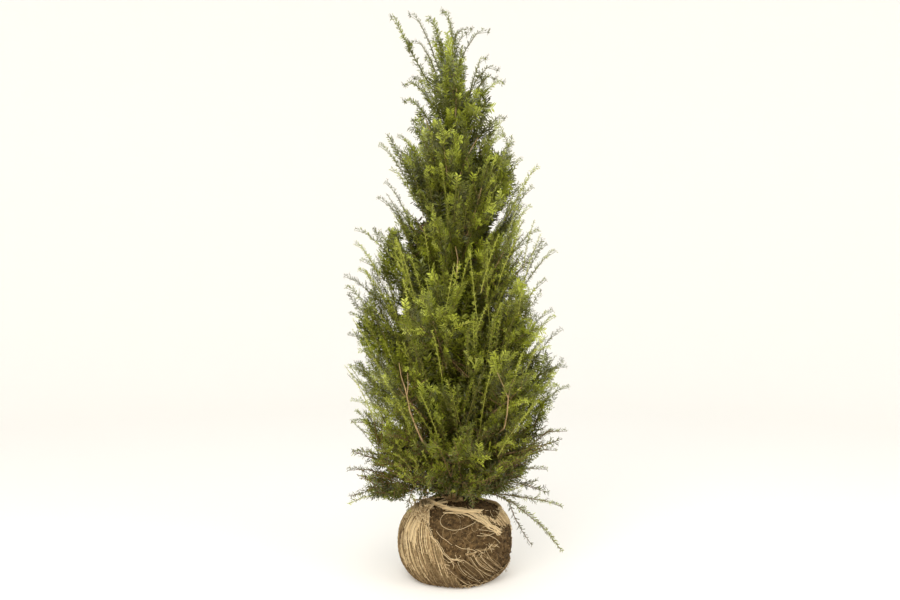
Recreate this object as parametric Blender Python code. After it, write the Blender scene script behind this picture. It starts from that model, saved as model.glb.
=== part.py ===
"""A young yew with its root ball in torn jute, as it stands in a nursery.

Metres, +Z up. The origin is the middle of the flat underside of the ball, +X is to the right
and -Y is the front. Run it with: blender --background --python part.py
"""

import math
import random

import bmesh
import bpy
import numpy as np
from mathutils import Matrix, Vector

# Root ball
BALL_WIDTH = 0.370
BALL_WAIST_HEIGHT = 0.116
GROUND_HEIGHT = 0.250
BALL_SHOULDER_RISE = 0.139
BALL_SHOULDER_POWER = 2.6
BALL_BELLY_DROP = 0.150
BALL_BELLY_POWER = 2.2
BALL_LUMP = 0.0035
BALL_SKIN = (22, 11)
JUTE_THICKNESS = 0.0030
CLEARANCE = 0.0003
WRAP_GAP = 0.0004
JOINT_GAP = 0.0005

# Mouth of the jute round the trunk, its rolled rim, and the tear in front
MOUTH_CENTRE_X = 0.030
MOUTH_RADII = (0.125, 0.100)
MOUTH_DEPTH = 0.200
RIM_RADIUS = 0.0065
RIM_GAP = 0.0014
RIM_TURNS = 20
TEAR_OUTLINE = (
    (-0.085, 0.300), (-0.079, 0.190), (-0.057, 0.159), (-0.038, 0.132),
    (-0.019, 0.110), (0.000, 0.105), (0.022, 0.109), (0.047, 0.097),
    (0.090, 0.062), (0.127, 0.052), (0.150, 0.085), (0.152, 0.120),
    (0.138, 0.165), (0.120, 0.300),
)
TEAR_DEPTH = 0.300
TEAR_CENTRE_Y = -0.180

# Trunk
TRUNK_TIP_HEIGHT = 1.560
TRUNK_BUTT_RADIUS = 0.0165
TRUNK_TIP_RADIUS = 0.0030
FLARE_RADIUS = 0.0110
FLARE_HEIGHT = 0.028
TRUNK_SWAY = 0.009
TRUNK_FLARE_STEPS = (0.0, 0.008, 0.020, 0.045, 0.080)
TRUNK_STEPS = 16
SLEEVE_EXTRA = 1.15
SLEEVE_FOOT = 0.010

# Crown: how far it reaches from the trunk's line, by height, to the left and to the right.
# Leading sprays reach it in full, the other sprays and the cores a share of it.
CROWN_TOP = 1.866
CROWN_REACH = (
    (0.06, 0.350, 0.360), (0.245, 0.345, 0.345), (0.30, 0.345, 0.270), (0.36, 0.345, 0.280),
    (0.42, 0.345, 0.325), (0.50, 0.340, 0.365), (0.63, 0.350, 0.390), (0.75, 0.350, 0.370),
    (0.86, 0.355, 0.355), (0.93, 0.355, 0.310), (1.00, 0.345, 0.290), (1.09, 0.305, 0.300),
    (1.15, 0.265, 0.270), (1.22, 0.230, 0.250), (1.32, 0.225, 0.260), (1.40, 0.225, 0.220),
    (1.45, 0.230, 0.185), (1.51, 0.155, 0.155), (1.57, 0.145, 0.130), (1.63, 0.145, 0.115),
    (1.72, 0.140, 0.085), (1.80, 0.140, 0.050), (1.87, 0.200, 0.050),
)
REACH_SLACK = 0.004
SPRAY_REACH = 0.91
CORE_REACH = 0.82

# Tiers of limbs, from the ground up: name, count, azimuth of the first in degrees, share of
# the crown's reach, height at which it leaves the trunk, height of its tip, how far its
# elbow is raised, and whether a bare bough carries it. Azimuth 0 is +X and 90 is +Y.
TIERS = (
    ("skirt", 4, 4.0, 1.00, 0.300, 0.255, 0.045, False),
    ("low", 5, 196.0, 1.00, 0.345, 0.450, 0.000, True),
    ("inner_low", 2, 95.0, 0.50, 0.400, 0.620, 0.000, False),
    ("side", 5, 18.0, 1.00, 0.450, 0.690, 0.000, True),
    ("inner_mid", 2, 5.0, 0.50, 0.700, 0.900, 0.000, False),
    ("upper_side", 5, 180.0, 1.00, 0.640, 0.940, -0.020, False),
    ("inner_high", 2, 95.0, 0.50, 0.820, 1.120, 0.000, False),
    ("shoulder", 4, 2.0, 1.00, 0.850, 1.125, 0.000, False),
    ("high", 4, 20.0, 1.00, 1.020, 1.340, 0.000, False),
    ("higher", 4, -10.0, 1.00, 1.190, 1.455, 0.000, False),
    ("highest", 4, 8.0, 1.00, 1.340, 1.650, 0.000, False),
)
TRAILING = (-23.0, 0.365, 0.120)
TRAILING_FOOT_RISE = 0.040
TRAILING_ELBOW = 0.075
LEADERS = (("leader_left", 172.0, 0.200, 1.852), ("leader_right", -25.0, 0.105, 1.812))
LEADER_FOOT_HEIGHT = 1.480
CENTRE_LEADER_TIP = (-0.033, 0.004, 1.865)
CENTRE_LEADER_ELBOW = 0.120
LIMB_STEPS = 10
BOUGH_STEPS = 4
LEADING_STEPS = 3
ELBOW_OUT = 0.60
ELBOW_UP = 0.30
BOUGH_BUTT_RADIUS = 0.0070
BOUGH_TIP_RADIUS = 0.0038
TRUNK_BORNE_RADIUS = 0.0050
STEM_TIP_RADIUS = 0.0016
AZIMUTH_JITTER = 7.0
TURNS_ASIDE = (0, 9, -9, 18, -18, 27, -27, 36, -36)
LIMB_SPACING = 0.032
TIP_JITTER = 0.025
FOOT_SPREAD = 0.050

# The crown's lowest foliage, at the back and at the front, and how far above it tips stay
SKIRT_HEIGHT = (0.215, 0.290)
SKIRT_TIP_RISE = 0.015

# Twigs up a stem. The first one's place is a share of the stem, after a bough and without.
SEEDS = range(8)
GOLDEN_TURN = math.radians(137.508)
FIRST_TWIG_AFTER_BOUGH = 0.12
FIRST_TWIG_OFF_TRUNK = 0.22
LAST_TWIG = 0.96
LEADING_TWIG = 0.97
TWIG_SPACING = 0.055
FEWEST_TWIGS = 3
MOST_TWIGS = 5
TWIG_SPLAY = math.radians(46.0)
TWIG_LENGTH = 0.220
TWIG_LENGTH_AT_TIP = 0.140
TWIG_LIFT = 0.20

# A spray: its teeth by their share of its length, and how it is drawn in to fit its space
SPRAY_TEETH = 2
SPRAY_ROOT_HALF_WIDTH = 0.060
SPRAY_NOTCH_HALF_WIDTH = 0.140
FIRST_NOTCH = 0.18
FIRST_TOOTH = 0.40
TOOTH_PITCH = 0.33
TOOTH_LOSS = 0.30
SPRAY_ROOT_SHARE = 0.15
SPRAY_WIDTH_SHARE = 0.36
LEADING_WIDTH_SHARE = 0.26
SPRAY_THICKNESS = 0.0027
SPRAY_ROLL = math.radians(15.0)
LENGTH_STEPS = (1.0, 0.88, 0.76, 0.64, 0.52, 0.40)
WIDTH_STEPS = (1.0, 0.88, 0.76, 0.64, 0.52, 0.40, 0.30, 0.20)
SHORTEST_SPRAY = 0.055
SLENDER = 0.33

# The dense core of a mass, from and to a number of limb steps past its ends
CORE_RADIUS = 0.066
CORE_LEAST_RADIUS = 0.003
CORE_SHAPE = (0.50, 1.00, 0.95, 0.40)
CORE_TUFTS = 0.28
CORE_START = 0.6
CORE_END = 1.6

# The room that foliage leaves to its neighbours, the wood, the ball and the floor
SPACE_MARGIN = 0.010
LIMB_MARGIN = 0.0045
BALL_MARGIN = 1.06
FLOOR_MARGIN = 0.012

# Ways to cut a fused shape into triangles, tried in turn until the shape is closed
TRIANGLE_RULES = (
    (1e-6, "BEAUTY", "BEAUTY"), (1e-6, "EAR_CLIP", "BEAUTY"), (1e-5, "BEAUTY", "BEAUTY"),
    (1e-5, "EAR_CLIP", "FIXED"), (3e-5, "BEAUTY", "SHORT_EDGE"), (1e-7, "EAR_CLIP", "FIXED"),
)


# Shapes that follow a rule

def turned(azimuth, reach, height):
    """The point at that azimuth in degrees, distance from the Z axis and height."""
    angle = math.radians(azimuth)
    return Vector((reach * math.cos(angle), reach * math.sin(angle), height))


def ball_point(direction, offset):
    """Where a ray from the waist's centre meets the ball's surface, moved out by offset."""
    x, y, z = direction
    level = math.hypot(x, y)
    rise, power = BALL_SHOULDER_RISE, BALL_SHOULDER_POWER
    if z < 0:
        rise, power = BALL_BELLY_DROP, BALL_BELLY_POWER
    spread = (level / (BALL_WIDTH / 2)) ** power + (abs(z) / rise) ** power
    size = spread ** (-1 / power)
    around = math.atan2(y, x)
    lump = math.sin(3 * around + 1.0 + 2.2 * z) + 0.6 * math.sin(5 * around - 2.0 + 4 * z)
    size += (BALL_LUMP * lump * level + offset) / math.sqrt(level * level + z * z)
    top = GROUND_HEIGHT - BALL_WAIST_HEIGHT + offset
    foot = -BALL_WAIST_HEIGHT + JUTE_THICKNESS + WRAP_GAP - offset
    flat_z = min(max(z * size, foot), top)
    return Vector((x * size, y * size, BALL_WAIST_HEIGHT + flat_z))


def crown_reach(height, azimuth):
    """How far the crown reaches from the trunk's line at that height and azimuth."""
    heights, left, right = zip(*CROWN_REACH)
    toward_right = (1 + np.cos(np.radians(azimuth))) / 2
    on_left = np.interp(height, heights, left)
    on_right = np.interp(height, heights, right)
    return on_left + (on_right - on_left) * toward_right


def skirt_height(azimuth):
    """The height of the crown's lowest foliage. It is lower at the back."""
    back, front = SKIRT_HEIGHT
    return back + (front - back) * (1 - np.sin(np.radians(azimuth))) / 2


def trunk_point(height):
    up = (height - GROUND_HEIGHT) / (TRUNK_TIP_HEIGHT - GROUND_HEIGHT)
    sway = TRUNK_SWAY * min(1.0, 6 * up)
    return Vector((sway * math.sin(5.2 * up), 0.7 * sway * math.sin(7.0 * up), height))


def trunk_radius(height):
    up = (height - GROUND_HEIGHT) / (TRUNK_TIP_HEIGHT - GROUND_HEIGHT)
    flare = FLARE_RADIUS * math.exp(-(height - GROUND_HEIGHT) / FLARE_HEIGHT)
    return TRUNK_BUTT_RADIUS + (TRUNK_TIP_RADIUS - TRUNK_BUTT_RADIUS) * up ** 0.9 + flare


def bent_path(foot, shoulder, tip, points):
    """A curve from foot to tip, drawn towards shoulder on the way."""
    places = []
    for i in range(points + 1):
        t = i / points
        places.append(foot * (1 - t) ** 2 + shoulder * 2 * t * (1 - t) + tip * t * t)
    return places


class Limb:
    """One limb of the crown: its whole line, and where its bare bough and its stem end."""

    def __init__(self, name, foot, elbow, tip, has_bough=False, fullness=1.0):
        self.name = name
        self.has_bough = has_bough
        self.fullness = fullness
        self.line = bent_path(foot, elbow, tip, LIMB_STEPS)
        self.split = BOUGH_STEPS if has_bough else 0

    def bough_line(self):
        return self.line[: self.split + 1]

    def stem_line(self):
        """The foliage's stem. After a bough it starts clear of the bough's end."""
        line = list(self.line[self.split : LIMB_STEPS + 1 - LEADING_STEPS])
        if self.has_bough:
            line[0] = line[0] + (line[1] - line[0]).normalized() * JOINT_GAP
        return line


def elbow_between(foot, tip, raised=0.0):
    elbow = foot.lerp(tip, ELBOW_OUT)
    elbow.z = foot.z + (tip.z - foot.z) * ELBOW_UP + raised
    return elbow


def straight_pieces(line):
    places = np.asarray(line)
    return places[:-1], places[1:] - places[:-1]


def gaps(points, starts, spans):
    """The distance from each point to each straight piece, as a table."""
    reach = points[:, None, :] - starts[None, :, :]
    share = np.clip((reach * spans).sum(axis=2) / (spans * spans).sum(axis=1), 0, 1)
    return np.linalg.norm(reach - share[:, :, None] * spans, axis=2)


def spaced_limb(name, azimuth, share, foot, tip_height, raised, has_bough, others):
    """A limb at that azimuth, or turned aside a little where another is in its way."""
    best, best_room = None, -1.0
    for aside in TURNS_ASIDE:
        turn = azimuth + aside
        tip = turned(turn, crown_reach(tip_height, turn) * share, tip_height)
        tip.z = max(tip.z, skirt_height(turn) + SKIRT_TIP_RISE)
        limb = Limb(name, foot, elbow_between(foot, tip, raised), tip, has_bough)
        outer = np.asarray(limb.line[2:])
        rooms = [gaps(outer, *straight_pieces(other.line)).min() for other in others]
        room = min(rooms, default=LIMB_SPACING)
        if room > best_room:
            best, best_room = limb, room
        if room >= LIMB_SPACING:
            break
    return best


def crown_limbs():
    """Every limb, tier by tier, then the trailing shoot and the leaders."""
    limbs = []
    for tier, count, first, share, foot_height, tip_height, raised, has_bough in TIERS:
        chance = random.Random(tier)
        for i in range(count):
            azimuth = first + 360 * i / count + chance.uniform(-1, 1) * AZIMUTH_JITTER
            tip_at = tip_height + chance.uniform(-1, 1) * TIP_JITTER
            foot = trunk_point(foot_height + FOOT_SPREAD * (2 * i % count) / count)
            place = (azimuth, share, foot, tip_at, raised, has_bough)
            limbs.append(spaced_limb(f"{tier}_{i + 1}", *place, limbs))
    foot = trunk_point(GROUND_HEIGHT + TRAILING_FOOT_RISE)
    tip = turned(*TRAILING)
    elbow = elbow_between(foot, tip, TRAILING_ELBOW)
    limbs.append(Limb("trailing", foot, elbow, tip, fullness=SLENDER))
    for name, azimuth, reach, tip_height in LEADERS:
        foot, tip = trunk_point(LEADER_FOOT_HEIGHT), turned(azimuth, reach, tip_height)
        limbs.append(Limb(name, foot, elbow_between(foot, tip), tip, fullness=SLENDER))
    foot = trunk_point(TRUNK_TIP_HEIGHT) + Vector((0, 0, CLEARANCE + JOINT_GAP))
    elbow = foot + Vector((0, 0, CENTRE_LEADER_ELBOW))
    limbs.append(Limb("leader_centre", foot, elbow, Vector(CENTRE_LEADER_TIP)))
    return limbs


# The space that each mass of foliage keeps to

class CrownSpace:
    """Which points belong to which limb: the nearest one's, and off the wood and the ball."""

    def __init__(self, limbs, trunk_line, trunk_sizes):
        ends = [straight_pieces(limb.line) for limb in limbs]
        self.starts = np.concatenate([start for start, _ in ends])
        self.spans = np.concatenate([span for _, span in ends])
        self.owner = np.repeat([limb.name for limb in limbs], LIMB_STEPS)
        steps = range(LIMB_STEPS)
        self.bare = np.array([step < limb.split for limb in limbs for step in steps])
        self.trunk = straight_pieces(trunk_line)
        self.trunk_heights = [place.z for place in trunk_line]
        self.trunk_sizes = trunk_sizes

    def holds(self, points, limb, reach_share=1.0):
        """For each point, whether it is in the limb's own space."""
        points = np.asarray(points)
        table = gaps(points, self.starts, self.spans)
        own = self.owner == limb.name
        kept = table[:, ~own].min(axis=1) > table[:, own].min(axis=1) + SPACE_MARGIN
        kept &= table[:, self.bare].min(axis=1) > BOUGH_BUTT_RADIUS + LIMB_MARGIN
        girth = np.interp(points[:, 2], self.trunk_heights, self.trunk_sizes)
        kept &= gaps(points, *self.trunk).min(axis=1) > girth + LIMB_MARGIN
        return kept & off_ball(points) & in_crown(points, limb, reach_share)


def off_ball(points):
    level = np.hypot(points[:, 0], points[:, 1]) / (BALL_WIDTH / 2)
    z = points[:, 2] - BALL_WAIST_HEIGHT
    rise = np.where(z > 0, BALL_SHOULDER_RISE, BALL_BELLY_DROP)
    power = BALL_SHOULDER_POWER
    return level ** power + (np.abs(z) / rise) ** power > BALL_MARGIN ** power


def in_crown(points, limb, reach_share):
    x, y, z = points.T
    azimuth = np.degrees(np.arctan2(y, x))
    floor = FLOOR_MARGIN if limb.name == "trailing" else skirt_height(azimuth)
    within = np.hypot(x, y) < crown_reach(z, azimuth) * reach_share + REACH_SLACK
    return (within | (reach_share == 1.0)) & (z > floor) & (z < CROWN_TOP)


def twigs_of(limb, seed):
    """Yields each twig up a limb's stem: its root, direction, side, length, its share of
    width, and whether it leads."""
    chance = random.Random(f"{limb.name} twigs {seed}")
    line = limb.stem_line()
    steps = [(b - a).length for a, b in zip(line[:-1], line[1:])]
    total = sum(steps)
    first = FIRST_TWIG_AFTER_BOUGH if limb.has_bough else FIRST_TWIG_OFF_TRUNK
    count = round(total * (1 - first) / TWIG_SPACING)
    count = min(max(count, FEWEST_TWIGS), MOST_TWIGS)
    turn = chance.uniform(0, 2 * math.pi)
    for i in range(count):
        along = first + (LAST_TWIG - first) * i / (count - 1)
        root, heading = place_on(line, steps, along * total)
        level = Vector((-heading.y, heading.x, 0))
        level = level.normalized() if level.length > 1e-3 else Vector((1, 0, 0))
        turn += GOLDEN_TURN
        outward = level * math.cos(turn) + heading.cross(level) * math.sin(turn)
        direction = heading * math.cos(TWIG_SPLAY) + outward * math.sin(TWIG_SPLAY)
        length = TWIG_LENGTH + (TWIG_LENGTH_AT_TIP - TWIG_LENGTH) * along
        side = spray_side(heading, direction, chance.uniform(-1, 1) * SPRAY_ROLL)
        share = SPRAY_WIDTH_SHARE * limb.fullness
        yield root, direction, side, length * limb.fullness ** 0.5, share, False
    root, heading = place_on(line, steps, LEADING_TWIG * total)
    lead = limb.line[-1] - root
    lead.z -= TWIG_LIFT * lead.length
    side = lead.cross(root.xy.to_3d()).normalized()
    yield root, lead.normalized(), side, lead.length, LEADING_WIDTH_SHARE * limb.fullness, True


def spray_side(heading, direction, roll):
    """The way a spray spreads: in the plane of its stem and its twig, rolled a little."""
    side = (heading - direction * heading.dot(direction)).normalized()
    return Matrix.Rotation(roll, 3, direction) @ side


def place_on(line, steps, distance):
    """The point and the heading at that distance along a line of straight pieces."""
    for (a, b), step in zip(zip(line[:-1], line[1:]), steps):
        if distance <= step:
            return a.lerp(b, distance / step), (b - a).normalized()
        distance -= step
    return line[-1].copy(), (line[-1] - line[-2]).normalized()


# Building with Blender's tools

def clear_scene():
    for old in list(bpy.data.objects):
        bpy.data.objects.remove(old, do_unlink=True)


def new_collection(name):
    collection = bpy.data.collections.new(name)
    bpy.context.scene.collection.children.link(collection)
    return collection


def material(name, colour, roughness):
    made = bpy.data.materials.new(name)
    made.use_nodes = True
    shader = made.node_tree.nodes["Principled BSDF"]
    shader.inputs["Base Color"].default_value = (*colour, 1)
    shader.inputs["Roughness"].default_value = roughness
    shader.inputs["Metallic"].default_value = 0.0
    return made


def add_object(name, data, collection, finish=None):
    made = bpy.data.objects.new(name, data)
    collection.objects.link(made)
    if finish:
        data.materials.clear()
        data.materials.append(finish)
    return made


def as_mesh(obj, collection, finish=None):
    """The object's evaluated shape as a mesh object of the same name, caps welded."""
    bpy.context.view_layer.update()
    graph = bpy.context.evaluated_depsgraph_get()
    mesh = bpy.data.meshes.new_from_object(obj.evaluated_get(graph))
    name, place = obj.name, obj.matrix_world.copy()
    bpy.data.objects.remove(obj, do_unlink=True)
    shape = bmesh.new()
    shape.from_mesh(mesh)
    bmesh.ops.remove_doubles(shape, verts=shape.verts, dist=1e-6)
    bmesh.ops.recalc_face_normals(shape, faces=shape.faces)
    shape.to_mesh(mesh)
    shape.free()
    made = add_object(name, mesh, collection, finish)
    made.matrix_world = place
    return made


def tube(name, line, radii, collection, finish, sides=8, ring=False):
    """A tube of varying radius along a line. Three sides use a triangle as the bevel."""
    curve = bpy.data.curves.new(name, "CURVE")
    curve.dimensions = "3D"
    curve.use_fill_caps = not ring
    spline = curve.splines.new("POLY")
    spline.points.add(len(line) - 1)
    spline.use_cyclic_u = ring
    triangle = None
    if sides == 3:
        triangle = triangle_outline(name + "_section")
        curve.bevel_mode = "OBJECT"
        curve.bevel_object = triangle
    else:
        curve.bevel_depth = 1.0
        curve.bevel_resolution = sides // 2 - 2
    for point, place, radius in zip(spline.points, line, radii):
        point.co = (*place, 1)
        point.radius = radius
    obj = as_mesh(add_object(name, curve, collection), collection, finish)
    if triangle:
        bpy.data.objects.remove(triangle, do_unlink=True)
    return obj


def triangle_outline(name):
    curve = bpy.data.curves.new(name, "CURVE")
    spline = curve.splines.new("POLY")
    spline.points.add(2)
    spline.use_cyclic_u = True
    for i, point in enumerate(spline.points):
        angle = -2 * math.pi * i / 3
        point.co = (math.cos(angle), math.sin(angle), 0, 1)
    obj = bpy.data.objects.new(name, curve)
    bpy.context.scene.collection.objects.link(obj)
    return obj


def outline_prism(name, outline, depth, collection):
    """A flat outline in X and Z, as thick as depth along Y."""
    curve = bpy.data.curves.new(name, "CURVE")
    curve.dimensions = "2D"
    curve.fill_mode = "BOTH"
    curve.extrude = depth / 2
    spline = curve.splines.new("POLY")
    spline.points.add(len(outline) - 1)
    spline.use_cyclic_u = True
    for point, (x, z) in zip(spline.points, outline):
        point.co = (x, z, 0, 1)
    obj = add_object(name, curve, collection)
    obj.matrix_world = Matrix.Rotation(math.pi / 2, 4, "X")
    return as_mesh(obj, collection)


def mark_cutter(obj):
    obj.hide_render = True
    obj.display_type = "WIRE"


def boolean(obj, operation, other, solver="EXACT"):
    """Applies one Boolean to obj, with an object or with a whole collection."""
    cut = obj.modifiers.new(operation.lower(), "BOOLEAN")
    cut.operation = operation
    cut.solver = solver
    if isinstance(other, bpy.types.Collection):
        cut.operand_type = "COLLECTION"
        cut.collection = other
    else:
        cut.object = other
    bpy.context.view_layer.update()
    graph = bpy.context.evaluated_depsgraph_get()
    mesh = bpy.data.meshes.new_from_object(obj.evaluated_get(graph))
    obj.modifiers.remove(cut)
    obj.data = mesh


def tidied(obj):
    """Cuts the faces into triangles and drops loose scraps. False if a hole is left."""
    for least, ngons, quads in TRIANGLE_RULES:
        shape = bmesh.new()
        shape.from_mesh(obj.data)
        bmesh.ops.triangulate(shape, faces=shape.faces, ngon_method=ngons, quad_method=quads)
        bmesh.ops.dissolve_degenerate(shape, edges=shape.edges, dist=least)
        bodies = sorted(bodies_of(shape), key=len, reverse=True)
        scraps = [vert for body in bodies[1:] for vert in body]
        bmesh.ops.delete(shape, geom=scraps, context="VERTS")
        closed = all(len(edge.link_faces) == 2 for edge in shape.edges)
        if closed:
            shape.to_mesh(obj.data)
        shape.free()
        if closed:
            return True
    return False


def bodies_of(shape):
    left = set(shape.verts)
    bodies = []
    while left:
        grown, front = set(), [left.pop()]
        while front:
            vert = front.pop()
            grown.add(vert)
            near = [edge.other_vert(vert) for edge in vert.link_edges]
            front.extend(other for other in near if other in left)
            left.difference_update(near)
        bodies.append(grown)
    return bodies


# Root ball

def ball_shell(name, offset, collection, finish):
    """A closed skin of the ball, moved out from the soil by offset."""
    columns, rows = BALL_SKIN
    shape = bmesh.new()
    bmesh.ops.create_uvsphere(shape, u_segments=columns, v_segments=rows, radius=1)
    bmesh.ops.triangulate(shape, faces=shape.faces, quad_method="FIXED")
    for vert in shape.verts:
        vert.co = ball_point(vert.co.normalized(), offset)
    bmesh.ops.recalc_face_normals(shape, faces=shape.faces)
    mesh = bpy.data.meshes.new(name)
    shape.to_mesh(mesh)
    shape.free()
    obj = add_object(name, mesh, collection, finish)
    mesh.shade_smooth()
    return obj


def jute_wrap(parts, cutters, finish):
    """The cloth: an outer skin less an inner one, open at the mouth and at the tear."""
    wrap = ball_shell("jute_wrap", WRAP_GAP + JUTE_THICKNESS, parts, finish)
    inside = ball_shell("wrap_inside", WRAP_GAP, cutters, None)
    bpy.ops.mesh.primitive_cylinder_add(
        vertices=28, radius=1, depth=MOUTH_DEPTH, location=(MOUTH_CENTRE_X, 0, GROUND_HEIGHT)
    )
    mouth = bpy.context.object
    mouth.name = "wrap_mouth"
    mouth.scale = (*MOUTH_RADII, 1)
    tear = outline_prism("wrap_tear", TEAR_OUTLINE, TEAR_DEPTH, cutters)
    tear.location.y = TEAR_CENTRE_Y
    for cutter in (inside, mouth, tear):
        boolean(wrap, "DIFFERENCE", cutter, "MANIFOLD")
        mark_cutter(cutter)
    assert tidied(wrap)
    return wrap


def jute_rim(parts, finish):
    """The rolled edge of the cloth round its mouth, lying on the ball's shoulder."""
    line = []
    for i in range(RIM_TURNS):
        angle = 2 * math.pi * i / RIM_TURNS
        x = MOUTH_CENTRE_X + (MOUTH_RADII[0] - RIM_RADIUS) * math.cos(angle)
        y = (MOUTH_RADII[1] - RIM_RADIUS) * math.sin(angle)
        line.append(shoulder_point(x, y, RIM_RADIUS + RIM_GAP))
    return tube("jute_rim", line, [RIM_RADIUS] * RIM_TURNS, parts, finish, sides=6, ring=True)


def shoulder_point(x, y, offset):
    """The point over (x, y), that far out from the soil's upper surface."""
    low, high = 0.0, 1.0
    level = math.hypot(x, y)
    flat = Vector((x, y, 0)) / level
    for _ in range(40):
        tilt = (low + high) / 2
        direction = flat * math.cos(tilt * math.pi / 2)
        direction.z = math.sin(tilt * math.pi / 2)
        found = ball_point(direction, offset)
        if math.hypot(found.x, found.y) > level:
            low = tilt
        else:
            high = tilt
    return found


# Trunk, boughs and foliage

def trunk_line_and_sizes():
    start = TRUNK_FLARE_STEPS[-1]
    rise = (TRUNK_TIP_HEIGHT - GROUND_HEIGHT - start) / TRUNK_STEPS
    steps = [*TRUNK_FLARE_STEPS, *(start + rise * (i + 1) for i in range(TRUNK_STEPS))]
    line = [trunk_point(GROUND_HEIGHT + step) for step in steps]
    line[1].xy = line[0].xy
    line = [place + Vector((0, 0, CLEARANCE)) for place in line]
    return line, [trunk_radius(GROUND_HEIGHT + step) for step in steps]


def trunk_sleeve(line, sizes, collection):
    """The trunk a little larger, to cope the limbs that meet it."""
    wider = [size + CLEARANCE * SLEEVE_EXTRA for size in sizes]
    longer = [line[0] - Vector((0, 0, SLEEVE_FOOT)), *line[1:]]
    sleeve = tube("trunk_sleeve", longer, wider, collection, None, sides=8)
    mark_cutter(sleeve)
    return sleeve


def bough(limb, sleeve, parts, finish):
    line = limb.bough_line()
    step = (BOUGH_TIP_RADIUS - BOUGH_BUTT_RADIUS) / BOUGH_STEPS
    radii = [BOUGH_BUTT_RADIUS + step * i for i in range(BOUGH_STEPS + 1)]
    obj = tube("bough_" + limb.name, line, radii, parts, finish, sides=6)
    boolean(obj, "DIFFERENCE", sleeve)
    assert tidied(obj)
    return obj


def spray_template(collection):
    """A toothed blade of unit length and half-width: a shoot and its needles as one."""
    edge = [(0.0, SPRAY_ROOT_HALF_WIDTH)]
    for i in range(SPRAY_TEETH):
        edge.append((FIRST_NOTCH + TOOTH_PITCH * i, SPRAY_NOTCH_HALF_WIDTH))
        edge.append((FIRST_TOOTH + TOOTH_PITCH * i, 1.0 - TOOTH_LOSS * i))
    outline = edge + [(1.0, 0.0)] + [(x, -y) for x, y in reversed(edge)]
    blade = outline_prism("spray_template", outline, 1.0, collection)
    mark_cutter(blade)
    corners = np.array([blade.matrix_world @ vert.co for vert in blade.data.vertices])
    return blade, corners


def spray_points(corners, root, direction, side, length, width_share):
    """The template's corners set along a twig that rises as it goes."""
    normal = direction.cross(side)
    along, thick, wide = corners[:, 0], corners[:, 1], corners[:, 2]
    points = np.array(root) + np.outer(along * length, direction)
    points += np.outer(wide * length * width_share, side)
    points += np.outer(thick * SPRAY_THICKNESS, normal)
    points[:, 2] += TWIG_LIFT * length * along ** 2
    return points


def fitted_spray(corners, twig, limb, space):
    """A spray's points, shortened and its teeth drawn in until it keeps to its space."""
    root, direction, side, full, width_share, leads = twig
    reach = 1.0 if leads else SPRAY_REACH
    free = corners[:, 0] > SPRAY_ROOT_SHARE
    flat = corners * (1, 0, 1)
    for share in LENGTH_STEPS:
        length = full * share
        if length < SHORTEST_SPRAY:
            return None
        spine = spray_points(flat * (1, 1, 0), root, direction, side, length, width_share)
        if not space.holds(spine[free], limb, reach).all():
            continue
        drawn = np.full(len(corners), WIDTH_STEPS[-1])
        kept = np.full(len(corners), True)
        for step in reversed(WIDTH_STEPS):
            tried = spray_points(flat * (1, 1, step), root, direction, side, length, width_share)
            kept &= space.holds(tried, limb, reach)
            drawn = np.where(kept, step, drawn)
        teeth = free & (np.abs(corners[:, 2]) > SPRAY_NOTCH_HALF_WIDTH * 1.05)
        drawn = np.where(teeth, drawn, 1.0)
        fitted = corners * np.stack([np.ones_like(drawn), np.ones_like(drawn), drawn], axis=1)
        return spray_points(fitted, root, direction, side, length, width_share)
    return None


def spray(template, points, name, collection):
    mesh = template.data.copy()
    mesh.vertices.foreach_set("co", points.astype(np.float32).ravel())
    obj = add_object(name, mesh, collection)
    shape = bmesh.new()
    shape.from_mesh(mesh)
    bmesh.ops.triangulate(shape, faces=shape.faces)
    bmesh.ops.recalc_face_normals(shape, faces=shape.faces)
    shape.to_mesh(mesh)
    shape.free()
    return obj


def core(limb, space, collection):
    """The thick of the mass: a tufted spindle, each corner drawn in to keep to its space."""
    chance = random.Random(limb.name + " core")
    last = LIMB_STEPS - LEADING_STEPS + CORE_END
    first = max(limb.split, 1) + CORE_START
    steps = np.arange(LIMB_STEPS + 1)
    line = np.asarray(limb.line)
    at = np.linspace(first, last, len(CORE_SHAPE))
    axis = [Vector([np.interp(t, steps, line[:, k]) for k in range(3)]) for t in at]
    full = CORE_RADIUS * limb.fullness
    obj = tube("core", axis, [full * share for share in CORE_SHAPE], collection, None, sides=6)
    shape = bmesh.new()
    shape.from_mesh(obj.data)
    for vert in shape.verts:
        centre = min(axis, key=lambda place: (place - vert.co).length)
        outward = (vert.co - centre) * (1 + chance.uniform(-1, 1) * CORE_TUFTS)
        tries = np.array([centre + outward * share for share in WIDTH_STEPS])
        kept = space.holds(tries, limb, CORE_REACH)[::-1]
        fits = int(np.argmin(kept)) if not kept.all() else len(kept)
        share = WIDTH_STEPS[-fits] if fits else 0.0
        vert.co = centre + outward * max(share, CORE_LEAST_RADIUS / outward.length)
    shape.to_mesh(obj.data)
    shape.free()
    return obj


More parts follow.
